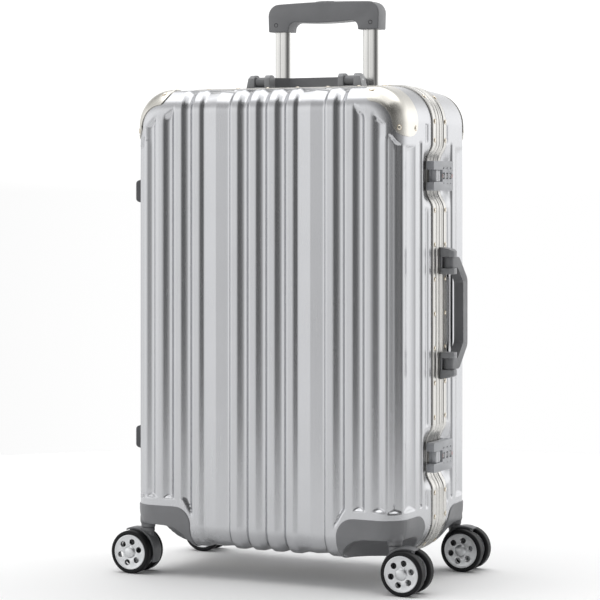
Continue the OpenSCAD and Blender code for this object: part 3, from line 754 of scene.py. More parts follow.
def rounded(outline, radius, n):
    """An outline with every corner rounded; radius is one number or one per corner."""
    out = []
    count = len(outline)
    for i, p in enumerate(outline):
        r = radius if isinstance(radius, (int, float)) else radius[i]
        p = Vector(p)
        a, b = Vector(outline[i - 1]) - p, Vector(outline[(i + 1) % count]) - p
        if r <= 0:
            out.append(tuple(p))
            continue
        half = a.angle(b) / 2
        back = min(r / math.tan(half), a.length * 0.49, b.length * 0.49)
        r = back * math.tan(half)
        start, end = p + a.normalized() * back, p + b.normalized() * back
        centre = p + (a.normalized() + b.normalized()).normalized() * (r / math.sin(half))
        u, v = start - centre, end - centre
        sweep = -math.degrees(u.angle_signed(v))
        for c, s in (direction(sweep * k / n) for k in range(n + 1)):
            out.append((centre.x + u.x * c - u.y * s, centre.y + u.x * s + u.y * c))
    return out


def moulded(name, parts, body, slot, mat, width, segments, node=None):
    """One piece of (verts, faces) parts in millimetres, with every edge rounded by a width."""
    obj = new_piece(name, *merge(parts), body, slot, mat, 40)
    bevel(obj, width, segments, 28)
    shade(obj, 44)
    if node:
        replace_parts(obj, node)


# ---- wheel housings: a proud corner, cut off by round-ended blocks, with a domed pocket ------

STEM_X, STEM_Y, ROOF = 190.0, 107.0, 72.0


def housing_solid(t_edge):
    """The right-hand housing at +Y."""
    inner, front, top, low, proud = 108, 38, HOUSING_TOP + 6, ZC - HZ, 1.2
    spans = [0, ARC_S] + list(np.linspace(ARC_S, WALL_S, 9))[1:] + [s_at_depth(front)]
    bottom = [(inner, low, -90)] + [(HX, low, -90 + 90 * k / 12) for k in range(13)] + [(HX, top, 0)]
    points = [on_skin(x0, z0, angle, s, proud, t_edge)[0] for x0, z0, angle in bottom for s in spans]
    points += [(inner, front, top), (inner, HALF_D + proud, top), (HX, front, top)]
    obj = hull(points)
    for start, end, a, b, axes in ((112, 230, 30, 140, "XZY"), (40, 140, 100, 230, "YZX")):
        outline = [(start, 20), (start, HOUSING_TOP), (end, HOUSING_TOP), (end, 20)]
        cut(obj, prism(rounded(outline, [0, 25, 0, 0], 10), a, b, axes), "INTERSECT")
    # A dome, wider across than in depth.
    rim, steps = 37, [k / 12 for k in range(1, 13)]
    profile = [(0, 20), (1, 20), (1, rim)]
    profile += [(1 - 0.52 * f ** 2.2, rim + (ROOF - rim) * math.sin(math.pi / 2 * f) ** 0.9) for f in steps]
    verts, faces = lathe(profile + [(0, ROOF)], 72)
    cut(obj, ([(STEM_X + (74 if x < 0 else 66) * x, STEM_Y + 64 * y, z) for x, y, z in verts], faces))
    boss = [(0, 64.7), (9.6, 64.7), (10, 65.1), (10, 69), (11.5, 72.5), (11.5, 80), (0, 80)]
    verts, faces = lathe(boss, 40)
    cut(obj, (shifted(verts, STEM_X, STEM_Y), faces), "UNION")
    # Every edge is rounded by remeshing and smoothing.
    modify(obj, "REMESH", mode="VOXEL", voxel_size=0.9 * MM)
    modify(obj, "SMOOTH", factor=0.5, iterations=3)
    modify(obj, "DECIMATE", ratio=0.3)
    return obj


def add_housings(name, side, t_edge, body):
    obj = housing_solid(t_edge)
    verts, faces = as_lists(obj.data)
    discard(obj)
    parts = [([(sx * x, side * y, z) for x, y, z in verts], faces) for sx in (-1, 1)]
    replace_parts(new_piece(name + "_moulding", *merge(parts), body, "grey_plastic", GREY, 60), name)


add_housings("front_wheel_housings", -1, FRONT_EDGE, "lid")
add_housings("rear_wheel_housings", 1, REAR_EDGE, "root")


# ---- locks -----------------------------------------------------------------------------------

LOCK_X, LOCK_FACE = HALF_W - DIP, HALF_W - DIP + 13.0
DIAL_YS, DIAL_X, DIAL_R = (8.0, 20.4, 32.8), HALF_W - DIP + 7.2, 5.6
SEGMENTS = ("abcdef", "bc", "abged", "abgcd", "fgbc", "afgcd", "afgedc", "abc", "abcdefg", "abcdfg")


def digit_bars(digit):
    """Bars of a seven-segment digit as (x0, x1, y0, y1) about its own middle."""
    w, h, bar = 1.3, 2.3, 0.36
    spots = {"a": (-w / 2, w / 2, h / 2 - bar, h / 2), "g": (-w / 2, w / 2, -bar / 2, bar / 2),
             "d": (-w / 2, w / 2, -h / 2, bar - h / 2), "f": (-w / 2, bar - w / 2, 0, h / 2),
             "b": (w / 2 - bar, w / 2, 0, h / 2), "e": (-w / 2, bar - w / 2, -h / 2, 0),
             "c": (w / 2 - bar, w / 2, -h / 2, 0)}
    return [spots[c] for c in SEGMENTS[digit]]


def lock_case():
    """The body about its own height: slots for the latch and dials, gates and setting holes."""
    outline = oblong(-28, 42, -20.5, 20.5) + [(-28, 8.6), (-19, 8.6), (-19, -8.6), (-28, -8.6)]
    case = prism(rounded(outline, [3.2] * 4 + [0.8] * 4, 4), LOCK_X + 2.0, LOCK_FACE, "YZX")
    slots = [(rounded(oblong(-22, 3.8, -8.1, 8.1), 0.6, 2), LOCK_X + 5.9)]
    for y in DIAL_YS:
        gate = [(y - 2.8, 9.4), (y + 0.6, 9.4), (y + 2.8, 11.9), (y - 0.6, 11.9)]
        slots += [(rounded(oblong(y - 3.45, y + 3.45, -4.6, 4.6), 0.9, 3), DIAL_X - 6.5),
                  (rounded(gate, 0.7, 3), LOCK_FACE - 1.2),
                  (arc(y, -10.4, 1.0, 0, 360, 12)[:-1], LOCK_FACE - 0.8)]
    return case, [prism(slot, floor, LOCK_FACE + 2, "YZX") for slot, floor in slots]


def add_lock(z0, label):
    case, slots = lock_case()
    body = new_piece("lock_case_" + label, *case, "root", "lock_grey", LOCK_GREY)
    for slot in slots:
        cut(body, slot)
    bevel(body, 0.8, 3)
    outline = rounded(oblong(3.6, 41, -19.5, 19.5), 2, 3)
    foot = mesh_object("foot", *prism(outline, LOCK_X + 0.1, LOCK_X + 2.4, "YZX"))
    verts, faces = merge([as_lists(body.data), as_lists(foot.data)])
    discard(foot)
    body.data.clear_geometry()
    body.data.from_pydata([tuple(c * MM for c in v) for v in shifted(verts, z=z0)], [], faces)
    shade(body, 42)
    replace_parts(body, "lock_body_" + label)
    # Painted shade: black sheets on the floors of the slots and the wells, and behind the dials, stand in for
    # the shade inside them. Red marks at both ends of the dials.
    dark = []
    for y in DIAL_YS:
        dark += [box(LOCK_FACE - 1.25, LOCK_FACE - 1.1, y - 3, y + 3, z0 + 9, z0 + 12.2),
                 box(LOCK_FACE - 0.9, LOCK_FACE - 0.7, y - 1.2, y + 1.2, z0 - 11.6, z0 - 9.2),
                 box(DIAL_X - 6.45, DIAL_X - 6.2, y - 3.4, y + 3.4, z0 - 4.5, z0 + 4.5)]
    moulded("lock_painted_shade_" + label, dark, "root", "lock_grey", SHADE_AND_SCREW_BLACK, 0.05, 1)
    marks = [prism(rounded(oblong(y - half, y + half, z0 - 2.5, z0 + 2.5), half * 0.6, 3),
                   LOCK_FACE - 0.5, LOCK_FACE + 0.08, "YZX") for y, half in ((4.15, 0.3), (38.6, 0.75))]
    moulded("lock_marks_" + label, marks, "root", "lock_grey", MARK_RED, 0.12, 2)
    # The slider, with a ridge for the thumb.
    (x0, y0, low), (x1, y1, high) = node_mm("latch_" + label)
    parts = [box(x0, x1 - 0.9, y0, y1, low, high),
             box(x1 - 1.6, x1, y0 + 0.2, y0 + 6.8, low + 0.3, high - 0.3),
             box(x1 - 1.6, x1 - 0.4, y0 + 8.2, y1 - 0.6, low + 0.6, high - 0.6)]
    moulded("slider_" + label, parts, "latch_" + label, "latch_grey", LATCH_GREY, 0.45, 3, "latch_" + label)


def add_dial(label, number, z0):
    """A toothed wheel with its ten digits."""
    y0, name = DIAL_YS[number - 1], f"dial_{label}_{number}"
    count = 80  # points round it: two on each tooth and two in each gap
    rows = [(-3.2, 1.0, 1.0), (-3.2, 5.1, 4.9), (-3.0, 5.55, 5.25), (-2.0, 5.6, 5.3), (-1.7, 5.25, 5.25)]
    rows += [(-y, tooth, gap) for y, tooth, gap in reversed(rows)]
    spots = [direction(360 * (k + 0.5) / count) for k in range(count)]
    verts = [(DIAL_X + (gap, tooth)[k % 4 < 2] * c, y0 + y, z0 + (gap, tooth)[k % 4 < 2] * s)
             for y, tooth, gap in rows for k, (c, s) in enumerate(spots)]
    faces = grid_faces(len(rows), count, close_cols=True)
    faces += [tuple(range(count)), tuple(range(len(verts) - count, len(verts)))]
    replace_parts(new_piece(name + "_wheel", verts, faces, name, "dial_grey", DIAL_GREY, 30), name)
    parts = []
    for digit in range(10):
        c, s = direction(36 * (digit - 3 - number))
        for bar in digit_bars(digit):
            verts, faces = box(DIAL_R - 0.4, DIAL_R - 0.12, *bar)
            parts.append(([(DIAL_X + x * c - z * s, y0 + y, z0 + x * s + z * c) for x, y, z in verts], faces))
    moulded(name + "_digits", parts, name, "dial_grey", DIGIT_DARK, 0.02, 1)


for Z, LABEL in zip(LOCK_ZS, ("lower", "upper")):
    add_lock(Z, LABEL)
    for NUMBER in (1, 2, 3):
        add_dial(LABEL, NUMBER, Z)

moulded("lock_keeper_plates", [box(LOCK_X + 0.1, LOCK_X + 5, -18, -4, z - 8, z + 8) for z in LOCK_ZS], "lid",
        "frame_metal", FRAME_METAL, 0.8, 3, "lock_keepers")


# ---- carry handles: X along, Y back, Z away from the case ------------------------------------

HANDLE_HALF, LUG_H, PIVOT_Y, PIVOT_Z = 91.5, 20.0, 13.0, 9.8
SLOT_OUT, SLOT_IN, ARM = 78.0, 62.5, 14.0


def on_side(verts):
    return [(HALF_W + z, y, HANDLE_MID - x) for x, y, z in verts]


def on_top(verts):
    return [(x, y, CASE_TOP + z) for x, y, z in verts]


def mirrored(parts):
    return parts + [([(-x, y, z) for x, y, z in v], f) for v, f in parts]


def lug_parts():
    """One end: a cheek each side of the knuckle, of which the outer slopes down to its end; a base; a pin."""
    side = [(4, 0.05), (23, 0.05), (23, 14.5), (19.5, 19.2), (14, LUG_H), (7.5, 19.4), (4, 15)]
    side = rounded(side, [0, 0, 2, 3, 5, 3, 2], 4)
    inner = prism(side, 54.0, SLOT_IN - 0.2, "YZX")
    verts, faces = prism(side, SLOT_OUT + 0.2, HANDLE_HALF, "YZX")
    outer = [(x - max(0, z - 9) * 0.55 if x > 85 else x, y, z) for x, y, z in verts], faces
    base = box(54.6, HANDLE_HALF - 0.4, 4.3, 22.7, 0.05, 2.4)
    verts, pin = lathe([(0, 0), (2, 0), (2, 33.5), (0, 33.5)], 20)
    return [inner, outer, base], [([(56.0 + z, PIVOT_Y + x, PIVOT_Z + y) for x, y, z in verts], pin)]


def bail_shape():
    end, inside, back, slant = SLOT_OUT - 0.4, SLOT_IN + 0.4, 65.0, 31.0
    right = [(end, PIVOT_Y), (end, back - slant), (end - slant, back)]
    hollow = [(-inside, PIVOT_Y), (-inside, back - slant - 6), (21 - inside, back - 16)]
    outline = ([(-end, PIVOT_Y)] + hollow + [(-x, y) for x, y in reversed(hollow)] + right
               + [(-x, y) for x, y in reversed(right[1:])])
    radii = [0, 0, 5, 8, 8, 5, 0, 0, 12, 12, 12, 12]
    return prism(rounded(outline, radii, 6), PIVOT_Z - ARM / 2, PIVOT_Z + ARM / 2, "XYZ")


def add_bail(name, where, lug_node, body):
    lugs, pins = lug_parts()
    lugs, pins = ([(where(v), f) for v, f in mirrored(parts)] for parts in (lugs, pins))
    moulded(name + "_brackets", lugs, "root", "grey_plastic", LUG_GREY, 0.7, 3, lug_node)
    moulded(name + "_pins", pins, "root", "pin_steel", STEEL, 0.2, 2)
    obj = new_piece(name + "_bail", *bail_shape(), body, "grey_plastic", GRIP_GREY)
    for x0 in (0.4 - SLOT_OUT, SLOT_IN + 0.4):
        verts, faces = lathe([(0, 0), (ARM / 2, 0), (ARM / 2, 14.7), (0, 14.7)], 40)
        cut(obj, ([(x0 + z, PIVOT_Y + x, PIVOT_Z + y) for x, y, z in verts], faces), "UNION")
    bevel(obj, 1.7, 3, 40)
    for v, p in zip(obj.data.vertices, where(as_lists(obj.data)[0])):
        v.co = [c * MM for c in p]
    shade(obj, 40)
    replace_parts(obj, body)


add_bail("side_carry", on_side, "side_handle_lugs", "side_handle")
add_bail("top_carry", on_top, "top_handle_lugs", "top_handle")


# ---- trolley ---------------------------------------------------------------------------------

TUBE_X, TUBE_Y, TUBE_WALL = 70.6, 83.0, 1.2


def tube_outline(w, d, inset=0.0, groove=0.0):
    """A tube's outline about its own middle: round ends and, on both flats, a shallow groove."""
    r, c = d / 2 - inset, (w - d) / 2
    right = arc(c, 0, r, -90, 90, 12)
    top = [(2.2, r), (1.7, r - groove), (-1.7, r - groove), (-2.2, r)] if groove else [(c * 0.45, r)]
    return right + top + [(-x, -y) for x, y in right + top]


def tube_parts(w, d, z0, z1):
    """A pair of tubes, from the size of their section and their two heights."""
    outer, inner = (tube_outline(w, d, inset, 0.6) for inset in (0, TUBE_WALL))
    loops = [(outer, z0), (outer, z0 + 1), (outer, z1 - 1), (outer, z1), (inner, z1), (inner, z0)]
    faces = grid_faces(len(loops), len(outer), close_rows=True, close_cols=True)
    verts = [(x, y, z) for loop, z in loops for x, y in loop]
    return [(shifted(verts, sx * TUBE_X, TUBE_Y), faces) for sx in (-1, 1)]


for NODE, WIDE, DEEP, BODY in (("outer_tubes", 30.4, 19.4, "root"),
                               ("mid_tubes", 27.2, 16.2, "trolley_lower"),
                               ("inner_tubes", 24.0, 13.0, "trolley_upper")):
    LOW, HIGH = node_mm("trolley_" + NODE)
    PIECE = new_piece("trolley_drawn_" + NODE, *merge(tube_parts(WIDE, DEEP, LOW[2], HIGH[2])), BODY,
                      "tube_metal", TUBE_METAL, 40)
    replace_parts(PIECE, "trolley_" + NODE)


def tube_hole(s, w, d, z0, z1):
    """A shape to cut a hole for one tube, or to join a collar round it."""
    return prism([(s * TUBE_X + x, TUBE_Y + y) for x, y in tube_outline(w, d)], z0, z1, "XYZ")


def grip_outline(half, z0, z1):
    """Two legs with an arch between them, and a slightly crowned top with rounded corners."""
    arch, crown = half - 44, half - 17
    under = [(x, z0 + 13.5 - 1.8 * math.cos(math.pi * x / 2 / arch))
             for x in np.linspace(6 - arch, arch - 6, 15)]
    over = [(x, z1 - 1.6 + 1.6 * math.cos(math.pi * x / 2 / crown))
            for x in np.linspace(crown - 5, 5 - crown, 21)]
    return ([(0.8 - half, z0), (33 - half, z0)] + arc(-arch, z0 + 3, 11, 180, 90, 8, 10.5) + under
            + arc(arch, z0 + 3, 11, 90, 0, 8, 10.5) + [(half - 33, z0), (half - 0.8, z0)]
            + arc(crown, z1 - 18.6, 17, 0, 90, 8) + over + arc(-crown, z1 - 18.6, 17, 90, 180, 8))


def add_trolley_grip():
    (_, front, z0), (half, back, z1) = node_mm("trolley_grip")
    shape = prism(grip_outline(half, z0, z1), front, back, "XZY")
    obj = new_piece("trolley_grip_moulding", *shape, "trolley_upper", "grey_plastic", GREY)
    cut(obj, box(-16.4, 16.4, TUBE_Y - 8.4, TUBE_Y + 8.4, z1 - 10, z1 + 8))
    for s in (-1, 1):
        cut(obj, tube_hole(s, 24.4, 13.4, z0 - 2, z0 + 3))
    bevel(obj, 2.2, 4)
    shade(obj, 40)
    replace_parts(obj, "trolley_grip")
    # Recessed screws on both faces of the legs.
    verts, faces = lathe([(3.1, -0.5), (3.1, 0.1), (2.9, 0.22), (2.5, 0.22), (2.3, 0.0), (0.9, -0.1),
                          (0.9, -0.4), (0, -0.4)], 24)
    screws = [(placed(verts, (s * (half - 13), y, z0 + 10), (0, n, 0)), faces)
              for s in (-1, 1) for y, n in ((front, -1), (back, 1))]
    new_piece("trolley_grip_screws", *merge(screws), "trolley_upper", "grey_plastic", SHADE_AND_SCREW_BLACK, 30)
    (x0, front, z0), (x1, back, z1) = node_mm("trolley_button")
    outline = [(x0, z0), (x1, z0), (x1, z1 - 0.6), (6, z1), (-6, z1), (x0, z1 - 0.6)]
    button = prism(rounded(outline, [0, 0, 2, 8, 8, 2], 4), front, back, "XZY")
    moulded("trolley_push_button", [button], "trolley_button", "grey_plastic", GRIP_GREY, 0.9, 3,
            "trolley_button")


add_trolley_grip()


def add_bezel():
    """A plate with a collar round each tube, and a seat for each fixed tube under it."""
    (x0, y0, low), (x1, y1, high) = node_mm("trolley_bezel")
    plate = prism(rounded(oblong(x0, x1, y0, y1), 7, 6), low, high - 2.0, "XYZ")
    obj = new_piece("trolley_bezel_plate", *plate, "root", "grey_plastic", GREY)
    for s in (-1, 1):
        cut(obj, tube_hole(s, 37, 26, low + 1, high), "UNION")
    for s in (-1, 1):
        cut(obj, tube_hole(s, 27.8, 16.8, low - 2, high + 2))
        cut(obj, tube_hole(s, 30.6, 19.6, low - 2, 684.2))
    bevel(obj, 0.7, 3)
    shade(obj, 42)
    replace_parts(obj, "trolley_bezel")


add_bezel()


# ---- feet and hinges -------------------------------------------------------------------------

FOOT_ZS = (191.0, 540.0)


def add_feet(name, body):
    low, high = node_mm(name)
    parts = []
    for z in FOOT_ZS:
        side = [(low[0], z - 14), (low[0], z + 14), (high[0], z + 18.5), (high[0], z - 18.5)]
        parts.append(prism(rounded(side, [5, 5, 0, 0], 6), low[1], high[1], "XZY"))
    moulded(name + "_mouldings", parts, body, "foot_plastic", FOOT, 1.2, 4, name)


add_feet("front_side_feet", "lid")
add_feet("rear_side_feet", "root")

HINGE_X, HINGE_Y, KNUCKLE, LEAF_X = -HALF_W - 0.6, 2.3, 2.6, -HALF_W - 1.2


def knuckle(a, b):
    """A tube round the hinge's pin, closed into a ring."""
    profile = [(1.25, a), (2.3, a), (KNUCKLE, a + 0.3), (KNUCKLE, b - 0.3), (2.3, b), (1.25, b)]
    sides, last = 28, 28 * (len(profile) - 1)
    verts, faces = lathe(profile, sides)
    return verts, faces + [(k, (k + 1) % sides, last + (k + 1) % sides, last + k) for k in range(sides)]


def add_hinges(half, body, leaf, radii, tongue, spans, rivet_y):
    """One half of both hinges: a leaf, its knuckles joined to it by tongues, and two rivets each."""
    parts = []
    for z0 in LOCK_ZS:
        outline = rounded(oblong(*leaf, z0 - 30, z0 + 30), radii, 5)
        parts.append(prism(outline, LEAF_X - 0.05, -HALF_W, "YZX"))
        for a, b in spans:
            verts, faces = knuckle(a, b)
            parts.append((shifted(verts, HINGE_X, HINGE_Y, z0), faces))
            parts.append(box(LEAF_X, -HALF_W - 0.1, *tongue, z0 + a, z0 + b))
    moulded(f"hinge_{half}_plates", parts, body, "hinge_metal", STEEL, 0.25, 2, f"hinge_{half}_leaves")
    spots = [((LEAF_X, rivet_y, z + dz), (-1, 0, 0)) for z in LOCK_ZS for dz in (-22, 22)]
    add_rivets(f"hinge_{half}_rivet", spots, body, scale=0.8)


add_hinges("rear", "root", (5.5, 27.0), [0.5, 4, 4, 0.5], (HINGE_Y + 1.4, 6.2),
           [(-30, -10.3), (10.3, 30)], 20.0)
add_hinges("front", "lid", (-18.0, -0.9), [4, 0.5, 0.5, 4], (-1.6, HINGE_Y - 1.4), [(-10, 10)], -12.0)
PIN = lathe([(0, -30.9), (1.9, -30.8), (2.0, -30.3), (1.2, -30.1), (1.2, 30.1), (2.0, 30.3), (1.9, 30.8),
             (0, 30.9)], 24)
PINS = [(shifted(PIN[0], HINGE_X, HINGE_Y, Z), PIN[1]) for Z in LOCK_ZS]
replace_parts(new_piece("hinge_pin_rods", *merge(PINS), "root", "pin_steel", STEEL, 35), "hinge_pins")


# ---- casters ---------------------------------------------------------------------------------

TRAIL, WHEEL_R = 18.0, 30.3
TYRE_PROFILE = ([(24.5, 8.6), (24.9, 8.1), (26.8, 8.0)] + arc(27.3, 11.0, 3.0, -80, 0, 6)
                + [(30.3, 12.5), (30.3, 18.0)] + arc(27.3, 19.5, 3.0, 0, 80, 6)
                + [(26.6, 22.5), (25.6, 22.45), (25.1, 22.1), (24.5, 21.2)])
TYRE_MESH = lathe(TYRE_PROFILE + TYRE_PROFILE[:1], 72)


def make_hub():
    """A dished wheel with six round holes and a domed cap on its axle."""
    back = [(0, 9), (6.4, 8.6), (6.5, 16), (21.4, 16), (21.6, 9.2), (24.6, 9.0)]
    rim = [(24.6, 21.4), (24.45, 21.9), (24.0, 22.2), (23.2, 22.25), (22.7, 22.0), (22.2, 21.85)]
    face = [(15, 21.75), (9.6, 21.7), (9.1, 21.45), (8.6, 21.4), (8.2, 21.7), (8.0, 22.1)]
    profile = back + rim + face + arc(0, 22.1, 8.0, 8.6, 84.3, 6, 2.5) + [(0, 24.6)]
    obj = mesh_object("hub", *lathe(profile, 96))
    for i in range(6):
        c, s = direction(15 + 60 * i)
        cut(obj, prism(arc(15 * c, 15 * s, 4.25, 0, 360, 28)[:-1], 5, 30, "XYZ"))
    bevel(obj, 0.4, 2)
    hub = as_lists(obj.data)
    discard(obj)
    return hub


HUB_MESH = make_hub()


def on_axle(verts, sx, sy, side):
    """From a wheel's own axes to its place; side is 1 for the wheel away from the case's middle."""
    k = sy * side
    return [(sx * (STEM_X + TRAIL) + x, sy * STEM_Y + k * z, WHEEL_R - k * y) for x, y, z in verts]


def tyre_guard():
    """A curved guard over the tyres' inner edges, narrower towards its ends."""
    verts, steps = [], 31
    for i in range(steps):
        u = 2 * i / (steps - 1) - 1
        c, s = direction(136 + 70 * u)
        half = 10.6 - 2.2 * abs(u) ** 3
        section_points = [(31.2, -half), (33.2, -half), (33.9, -half * 0.6)]
        section_points += [(r, -y) for r, y in reversed(section_points)]
        verts += [(TRAIL + r * c, y, WHEEL_R + r * s) for r, y in section_points]
    ends = [tuple(range(6)), tuple(range(len(verts) - 1, len(verts) - 7, -1))]
    return verts, grid_faces(steps, 6, close_cols=True) + ends


def fork_parts():
    """The yoke's parts and its axle, about the stem, the trail towards +X."""
    stem = lathe([(0, 46), (7.6, 46), (8.0, 46.5), (8.0, 58.5), (9.2, 59.4), (9.2, 63.6), (8.8, 64.3),
                  (0, 64.3)], 36)
    pin = lathe([(0, 64.0), (4.0, 64.0), (4.0, 77.8), (3.6, 78.4), (0, 78.4)], 28)
    outline = arc(TRAIL, WHEEL_R, 32.4, 74, 202, 23) + arc(TRAIL, WHEEL_R, 9, 235, 400, 13)
    web = prism(outline, -6.5, 6.5, "XZY")
    verts, faces = lathe([(0, -22), (3, -22), (3, 22), (0, 22)], 24)
    return [stem, pin, web, tyre_guard()], [([(TRAIL + x, z, WHEEL_R + y) for x, y, z in verts], faces)]


for KEY, SX, SY in (("fl", -1, -1), ("fr", 1, -1), ("rl", -1, 1), ("rr", 1, 1)):
    FORK, AXLE = ([([(SX * (STEM_X + x), SY * STEM_Y + y, z) for x, y, z in v], f) for v, f in parts]
                  for parts in fork_parts())
    moulded("caster_yoke_" + KEY, FORK, "caster_" + KEY, "fork_plastic", GREY, 0.6, 3, "caster_fork_" + KEY)
    moulded("caster_axle_" + KEY, AXLE, "caster_" + KEY, "fork_plastic", STEEL, 0.3, 2)
    for WHICH, SIDE in (("outer", 1), ("inner", -1)):
        WHEEL = f"{KEY}_{WHICH}"
        for PIECE, NODE, MESH, SLOT, MATERIAL, ANGLE in (("tread_", "tyre_", TYRE_MESH, "tyre", TYRE, 50),
                                                         ("rim_", "hub_", HUB_MESH, "hub_plastic", HUB, 35)):
            OBJ = new_piece(PIECE + WHEEL, on_axle(MESH[0], SX, SY, SIDE), MESH[1], "wheel_" + WHEEL, SLOT,
                            MATERIAL, ANGLE)
            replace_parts(OBJ, NODE + WHEEL)


# ---- lining and straps -----------------------------------------------------------------------

LINING_INSET = 8.4


def net_lines(half, wall, step):
    """The net's lines over a flat middle and down both walls, for a cloth sheet."""
    return np.array([-half - s for s in np.arange(wall, 0, -4.0)] + list(np.arange(-half, half + 0.1, step))
                    + [half + s for s in np.arange(4, wall + 0.1, 4.0)])


def add_lining(name, side, t_edge, t_start, body, tunnel):
    """A creased sheet over a half's inside, lifted over its wheel wells and the trolley's tunnel."""
    wall = s_at_depth(t_start)
    p, q = net_lines(HX, wall, 5.0), net_lines(HZ, wall, 6.0)
    pp, qq = np.meshgrid(p, q, indexing="ij")
    point, normal, _ = base(pp, qq, t_edge)
    # Soft creases in the cloth, none at its sewn edge.
    wave = (np.sin(pp / 23 + 1.3 * np.sin(qq / 61)) + np.sin(qq / 31 + 0.8 * np.sin(pp / 37 + 2))
            + 0.6 * np.sin((pp + qq) / 13 + 1.7)) * 0.45
    wave = wave * smooth(t_start, t_start + 18, point[..., 1])
    point = point - normal * (LINING_INSET + wave + 0.8)[..., None]
    x, t, z = point[..., 0] - net_dip(point, normal, qq, t_edge), point[..., 1], point[..., 2] + ZC
    low = np.full_like(t, 1e3)
    if tunnel:
        low = np.minimum(low, 66.0 - wave + 1e3 * smooth(92.5, 96, np.abs(x)))
    wells = np.maximum(smooth(108, 103, np.abs(x)), smooth(103, 108, z))
    low = np.minimum(low, 35.0 - 0.5 * wave + 1e2 * wells)
    t = np.minimum(t, np.maximum(low, t_start))
    verts = to_case(np.stack([x, t, z - ZC], -1), side).reshape(-1, 3)
    piece = new_piece(name + "_cloth", verts, grid_faces(len(p), len(q)), body, "lining_fabric", LINING, 60)
    bm = bmesh.new()
    bm.from_mesh(piece.data)
    area = sum(f.calc_area() for f in bm.faces)
    bm.free()
    modify(piece, "SOLIDIFY", thickness=0.0008, offset=0)
    shade(piece, 60)
    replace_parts(piece, name)
    # The rim's bound edge, a flat tape sewn round the opening.
    path = rim_path(12.0, 10)
    tape = []
    for x0, z0, angle, right in path:
        c, s = direction(angle)
        push = rim_push(z0) if right else 0
        for inset, y in ((9.6, t_start), (9.6, t_start + 9), (11.2, t_start + 9.4), (11.6, t_start + 0.2)):
            r = CORNER_R - RIM_INSET - inset
            tape.append((x0 + r * c - push, side * y, z0 + r * s))
    faces = grid_faces(len(path), 4, close_rows=True, close_cols=True)
    binding = new_piece(name + "_binding", tape, faces, body, "lining_fabric", WEBBING, 30)


add_lining("front_lining", -1, FRONT_EDGE, 20.5, "lid", False)
add_lining("rear_lining", 1, REAR_EDGE, 30.5, "root", True)


def add_straps():
    """Two crossed elastic straps over the deeper half, meeting at a buckle."""
    length, width, mid_z, rows, cols = 510.0, 25.0, 362, 60, 9
    for lean, label in ((38, "a"), (-38, "b")):
        c, s = direction(lean)
        verts = []
        for i in range(rows):
            v = -length / 2 + length * i / (rows - 1)
            over = 1.1 * math.exp(-(v / 30) ** 2) * (1 if label == "a" else -1)
            for j in range(cols):
                u = -width / 2 + width * j / (cols - 1)
                sag = 0.35 * math.sin(v / 47 + u / 19) + 0.15 * math.cos(u / width * math.pi)
                verts.append((u * c + v * s, 36 - sag - over, mid_z + v * c - u * s))
        faces = grid_faces(rows, cols)
        obj = new_piece("packing_strap_" + label, verts, faces, "root", "strap_fabric", WEBBING, 60)
        modify(obj, "SOLIDIFY", thickness=0.0014, offset=0)
        shade(obj, 60)
        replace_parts(obj, "packing_straps")
    buckle = prism(rounded(oblong(-22, 22, mid_z - 18, mid_z + 18), 5, 5), 34, 38.5, "XZY")
    obj = new_piece("packing_strap_buckle", *buckle, "root", "strap_fabric", DARK)
    for x in (-9.5, 9.5):
        slot = rounded(oblong(x - 3.2, x + 3.2, mid_z - 13, mid_z + 13), 1.5, 3)
        cut(obj, prism(slot, 30, 35.2, "XZY"))
    bevel(obj, 0.8, 3, 40)
    shade(obj, 42)
    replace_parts(obj, "packing_straps")


add_straps()

GASKET = sweep_rim([(0.9, 1.45), (0.7, 2.1), (0.9, 2.8), (4.0, 2.8), (4.0, 1.5)])
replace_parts(new_piece("frame_gasket_lip", *GASKET, "lid", "seal_rubber", RUBBER, 60), "frame_gasket")


# ---- floor, light and camera -----------------------------------------------------------------

def add_stage():
    """A round white floor and one large soft light above the case."""
    mesh = bpy.data.meshes.new("floor")
    ring = [(x, y, 0) for x, y in arc(0, 0, 1.5, 0, 360, 96)[:-1]]
    mesh.from_pydata(ring, [], [tuple(range(96))])
    floor = bpy.data.objects.new("floor", mesh)
    bpy.context.scene.collection.objects.link(floor)
    mesh.materials.append(material("floor_white", (0.95, 0.95, 0.95), 0, 0.9)[0])
    light = bpy.data.lights.new("top", "AREA")
    light.shape = "RECTANGLE"
    light.size, light.size_y = 4.2, 4.0
    light.energy = 64
    lamp = bpy.data.objects.new("top", light)
    bpy.context.scene.collection.objects.link(lamp)
    lamp.location = (0.0, 0.2, 3.2)
    lamp.rotation_euler = Vector((0, -0.2, -2.8)).to_track_quat("-Z", "Y").to_euler()


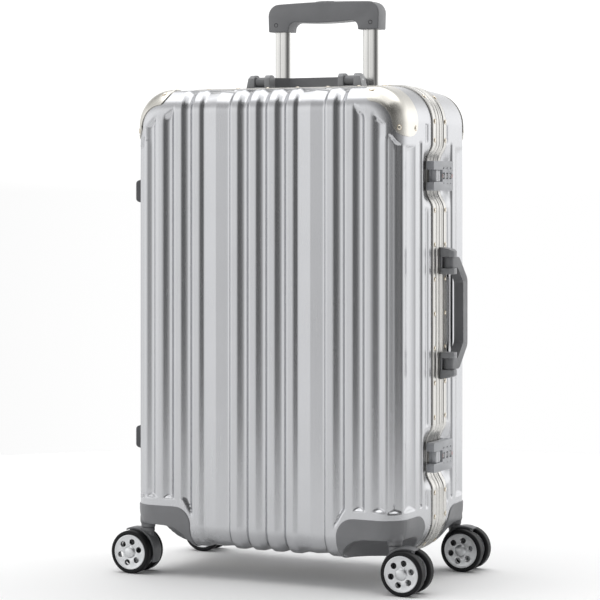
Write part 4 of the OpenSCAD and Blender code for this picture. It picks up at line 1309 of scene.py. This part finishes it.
def add_world():
    """A white studio with one darker side, which gives the polished walls something to reflect."""
    world = bpy.data.worlds.new("studio")
    bpy.context.scene.world = world
    world.use_nodes = True
    nodes, links = world.node_tree.nodes, world.node_tree.links
    coord = nodes.new("ShaderNodeTexCoord")
    around = nodes.new("ShaderNodeTexGradient")
    around.gradient_type = "RADIAL"
    links.new(coord.outputs["Generated"], around.inputs["Vector"])
    up = nodes.new("ShaderNodeSeparateXYZ")
    links.new(coord.outputs["Generated"], up.inputs["Vector"])
    # Brightness round the case, in degrees from the front towards its right side, and upwards.
    circle = [(-150, 1.0), (-128, 0.8), (-112, 0.7), (-95, 1.1), (-60, 1.25), (-40, 1.2), (-26, 1.08),
              (-15, 0.84), (-4, 0.64), (8, 0.46), (20, 0.32), (32, 0.20), (56, 0.14), (70, 0.20), (84, 0.38),
              (104, 0.52), (118, 0.95), (130, 1.3), (150, 1.45), (168, 1.2), (185, 1.0)]
    rise = [(0.0, 1.0), (0.03, 1.2), (0.30, 1.2), (0.46, 0.7), (0.66, 0.7), (0.82, 1.0), (1.0, 1.0)]
    circle = [((degrees / 360 + 0.25) % 1.0, level) for degrees, level in circle]
    fans = []
    for stops, value in ((circle, around.outputs["Fac"]), (rise, up.outputs["Z"])):
        ramp = nodes.new("ShaderNodeValToRGB")
        stops = sorted(stops)
        if stops[0][0] > 0:
            stops = [(0.0, stops[-1][1])] + stops
        elements = ramp.color_ramp.elements
        while len(elements) > 1:
            elements.remove(elements[0])
        elements[0].position = stops[0][0]
        elements[0].color = (*[stops[0][1] / 1.5] * 3, 1)
        for place, level in stops[1:]:
            element = elements.new(place)
            element.color = (*[level / 1.5] * 3, 1)
        links.new(value, ramp.inputs["Fac"])
        fans.append(ramp.outputs["Color"])
    product = nodes.new("ShaderNodeMix")
    product.data_type = "RGBA"
    product.blend_type = "MULTIPLY"
    product.inputs["Factor"].default_value = 1.0
    links.new(fans[0], product.inputs["A"])
    links.new(fans[1], product.inputs["B"])
    background = nodes["Background"]
    background.inputs["Strength"].default_value = 2.25
    links.new(product.outputs["Result"], background.inputs["Color"])


def add_camera():
    bpy.context.scene.view_settings.view_transform = "Standard"
    camera = bpy.data.cameras.new("camera")
    camera.sensor_width = 36
    camera.lens = 132.1
    camera.shift_y = -0.180
    camera.clip_end = 100
    obj = bpy.data.objects.new("camera", camera)
    bpy.context.scene.collection.objects.link(obj)
    obj.location = (1.3616, -2.8217, 0.5387)
    obj.rotation_euler = Vector((-0.4354, 0.9002, 0)).to_track_quat("-Z", "Y").to_euler()
    bpy.context.scene.camera = obj


add_stage()
add_world()
add_camera()
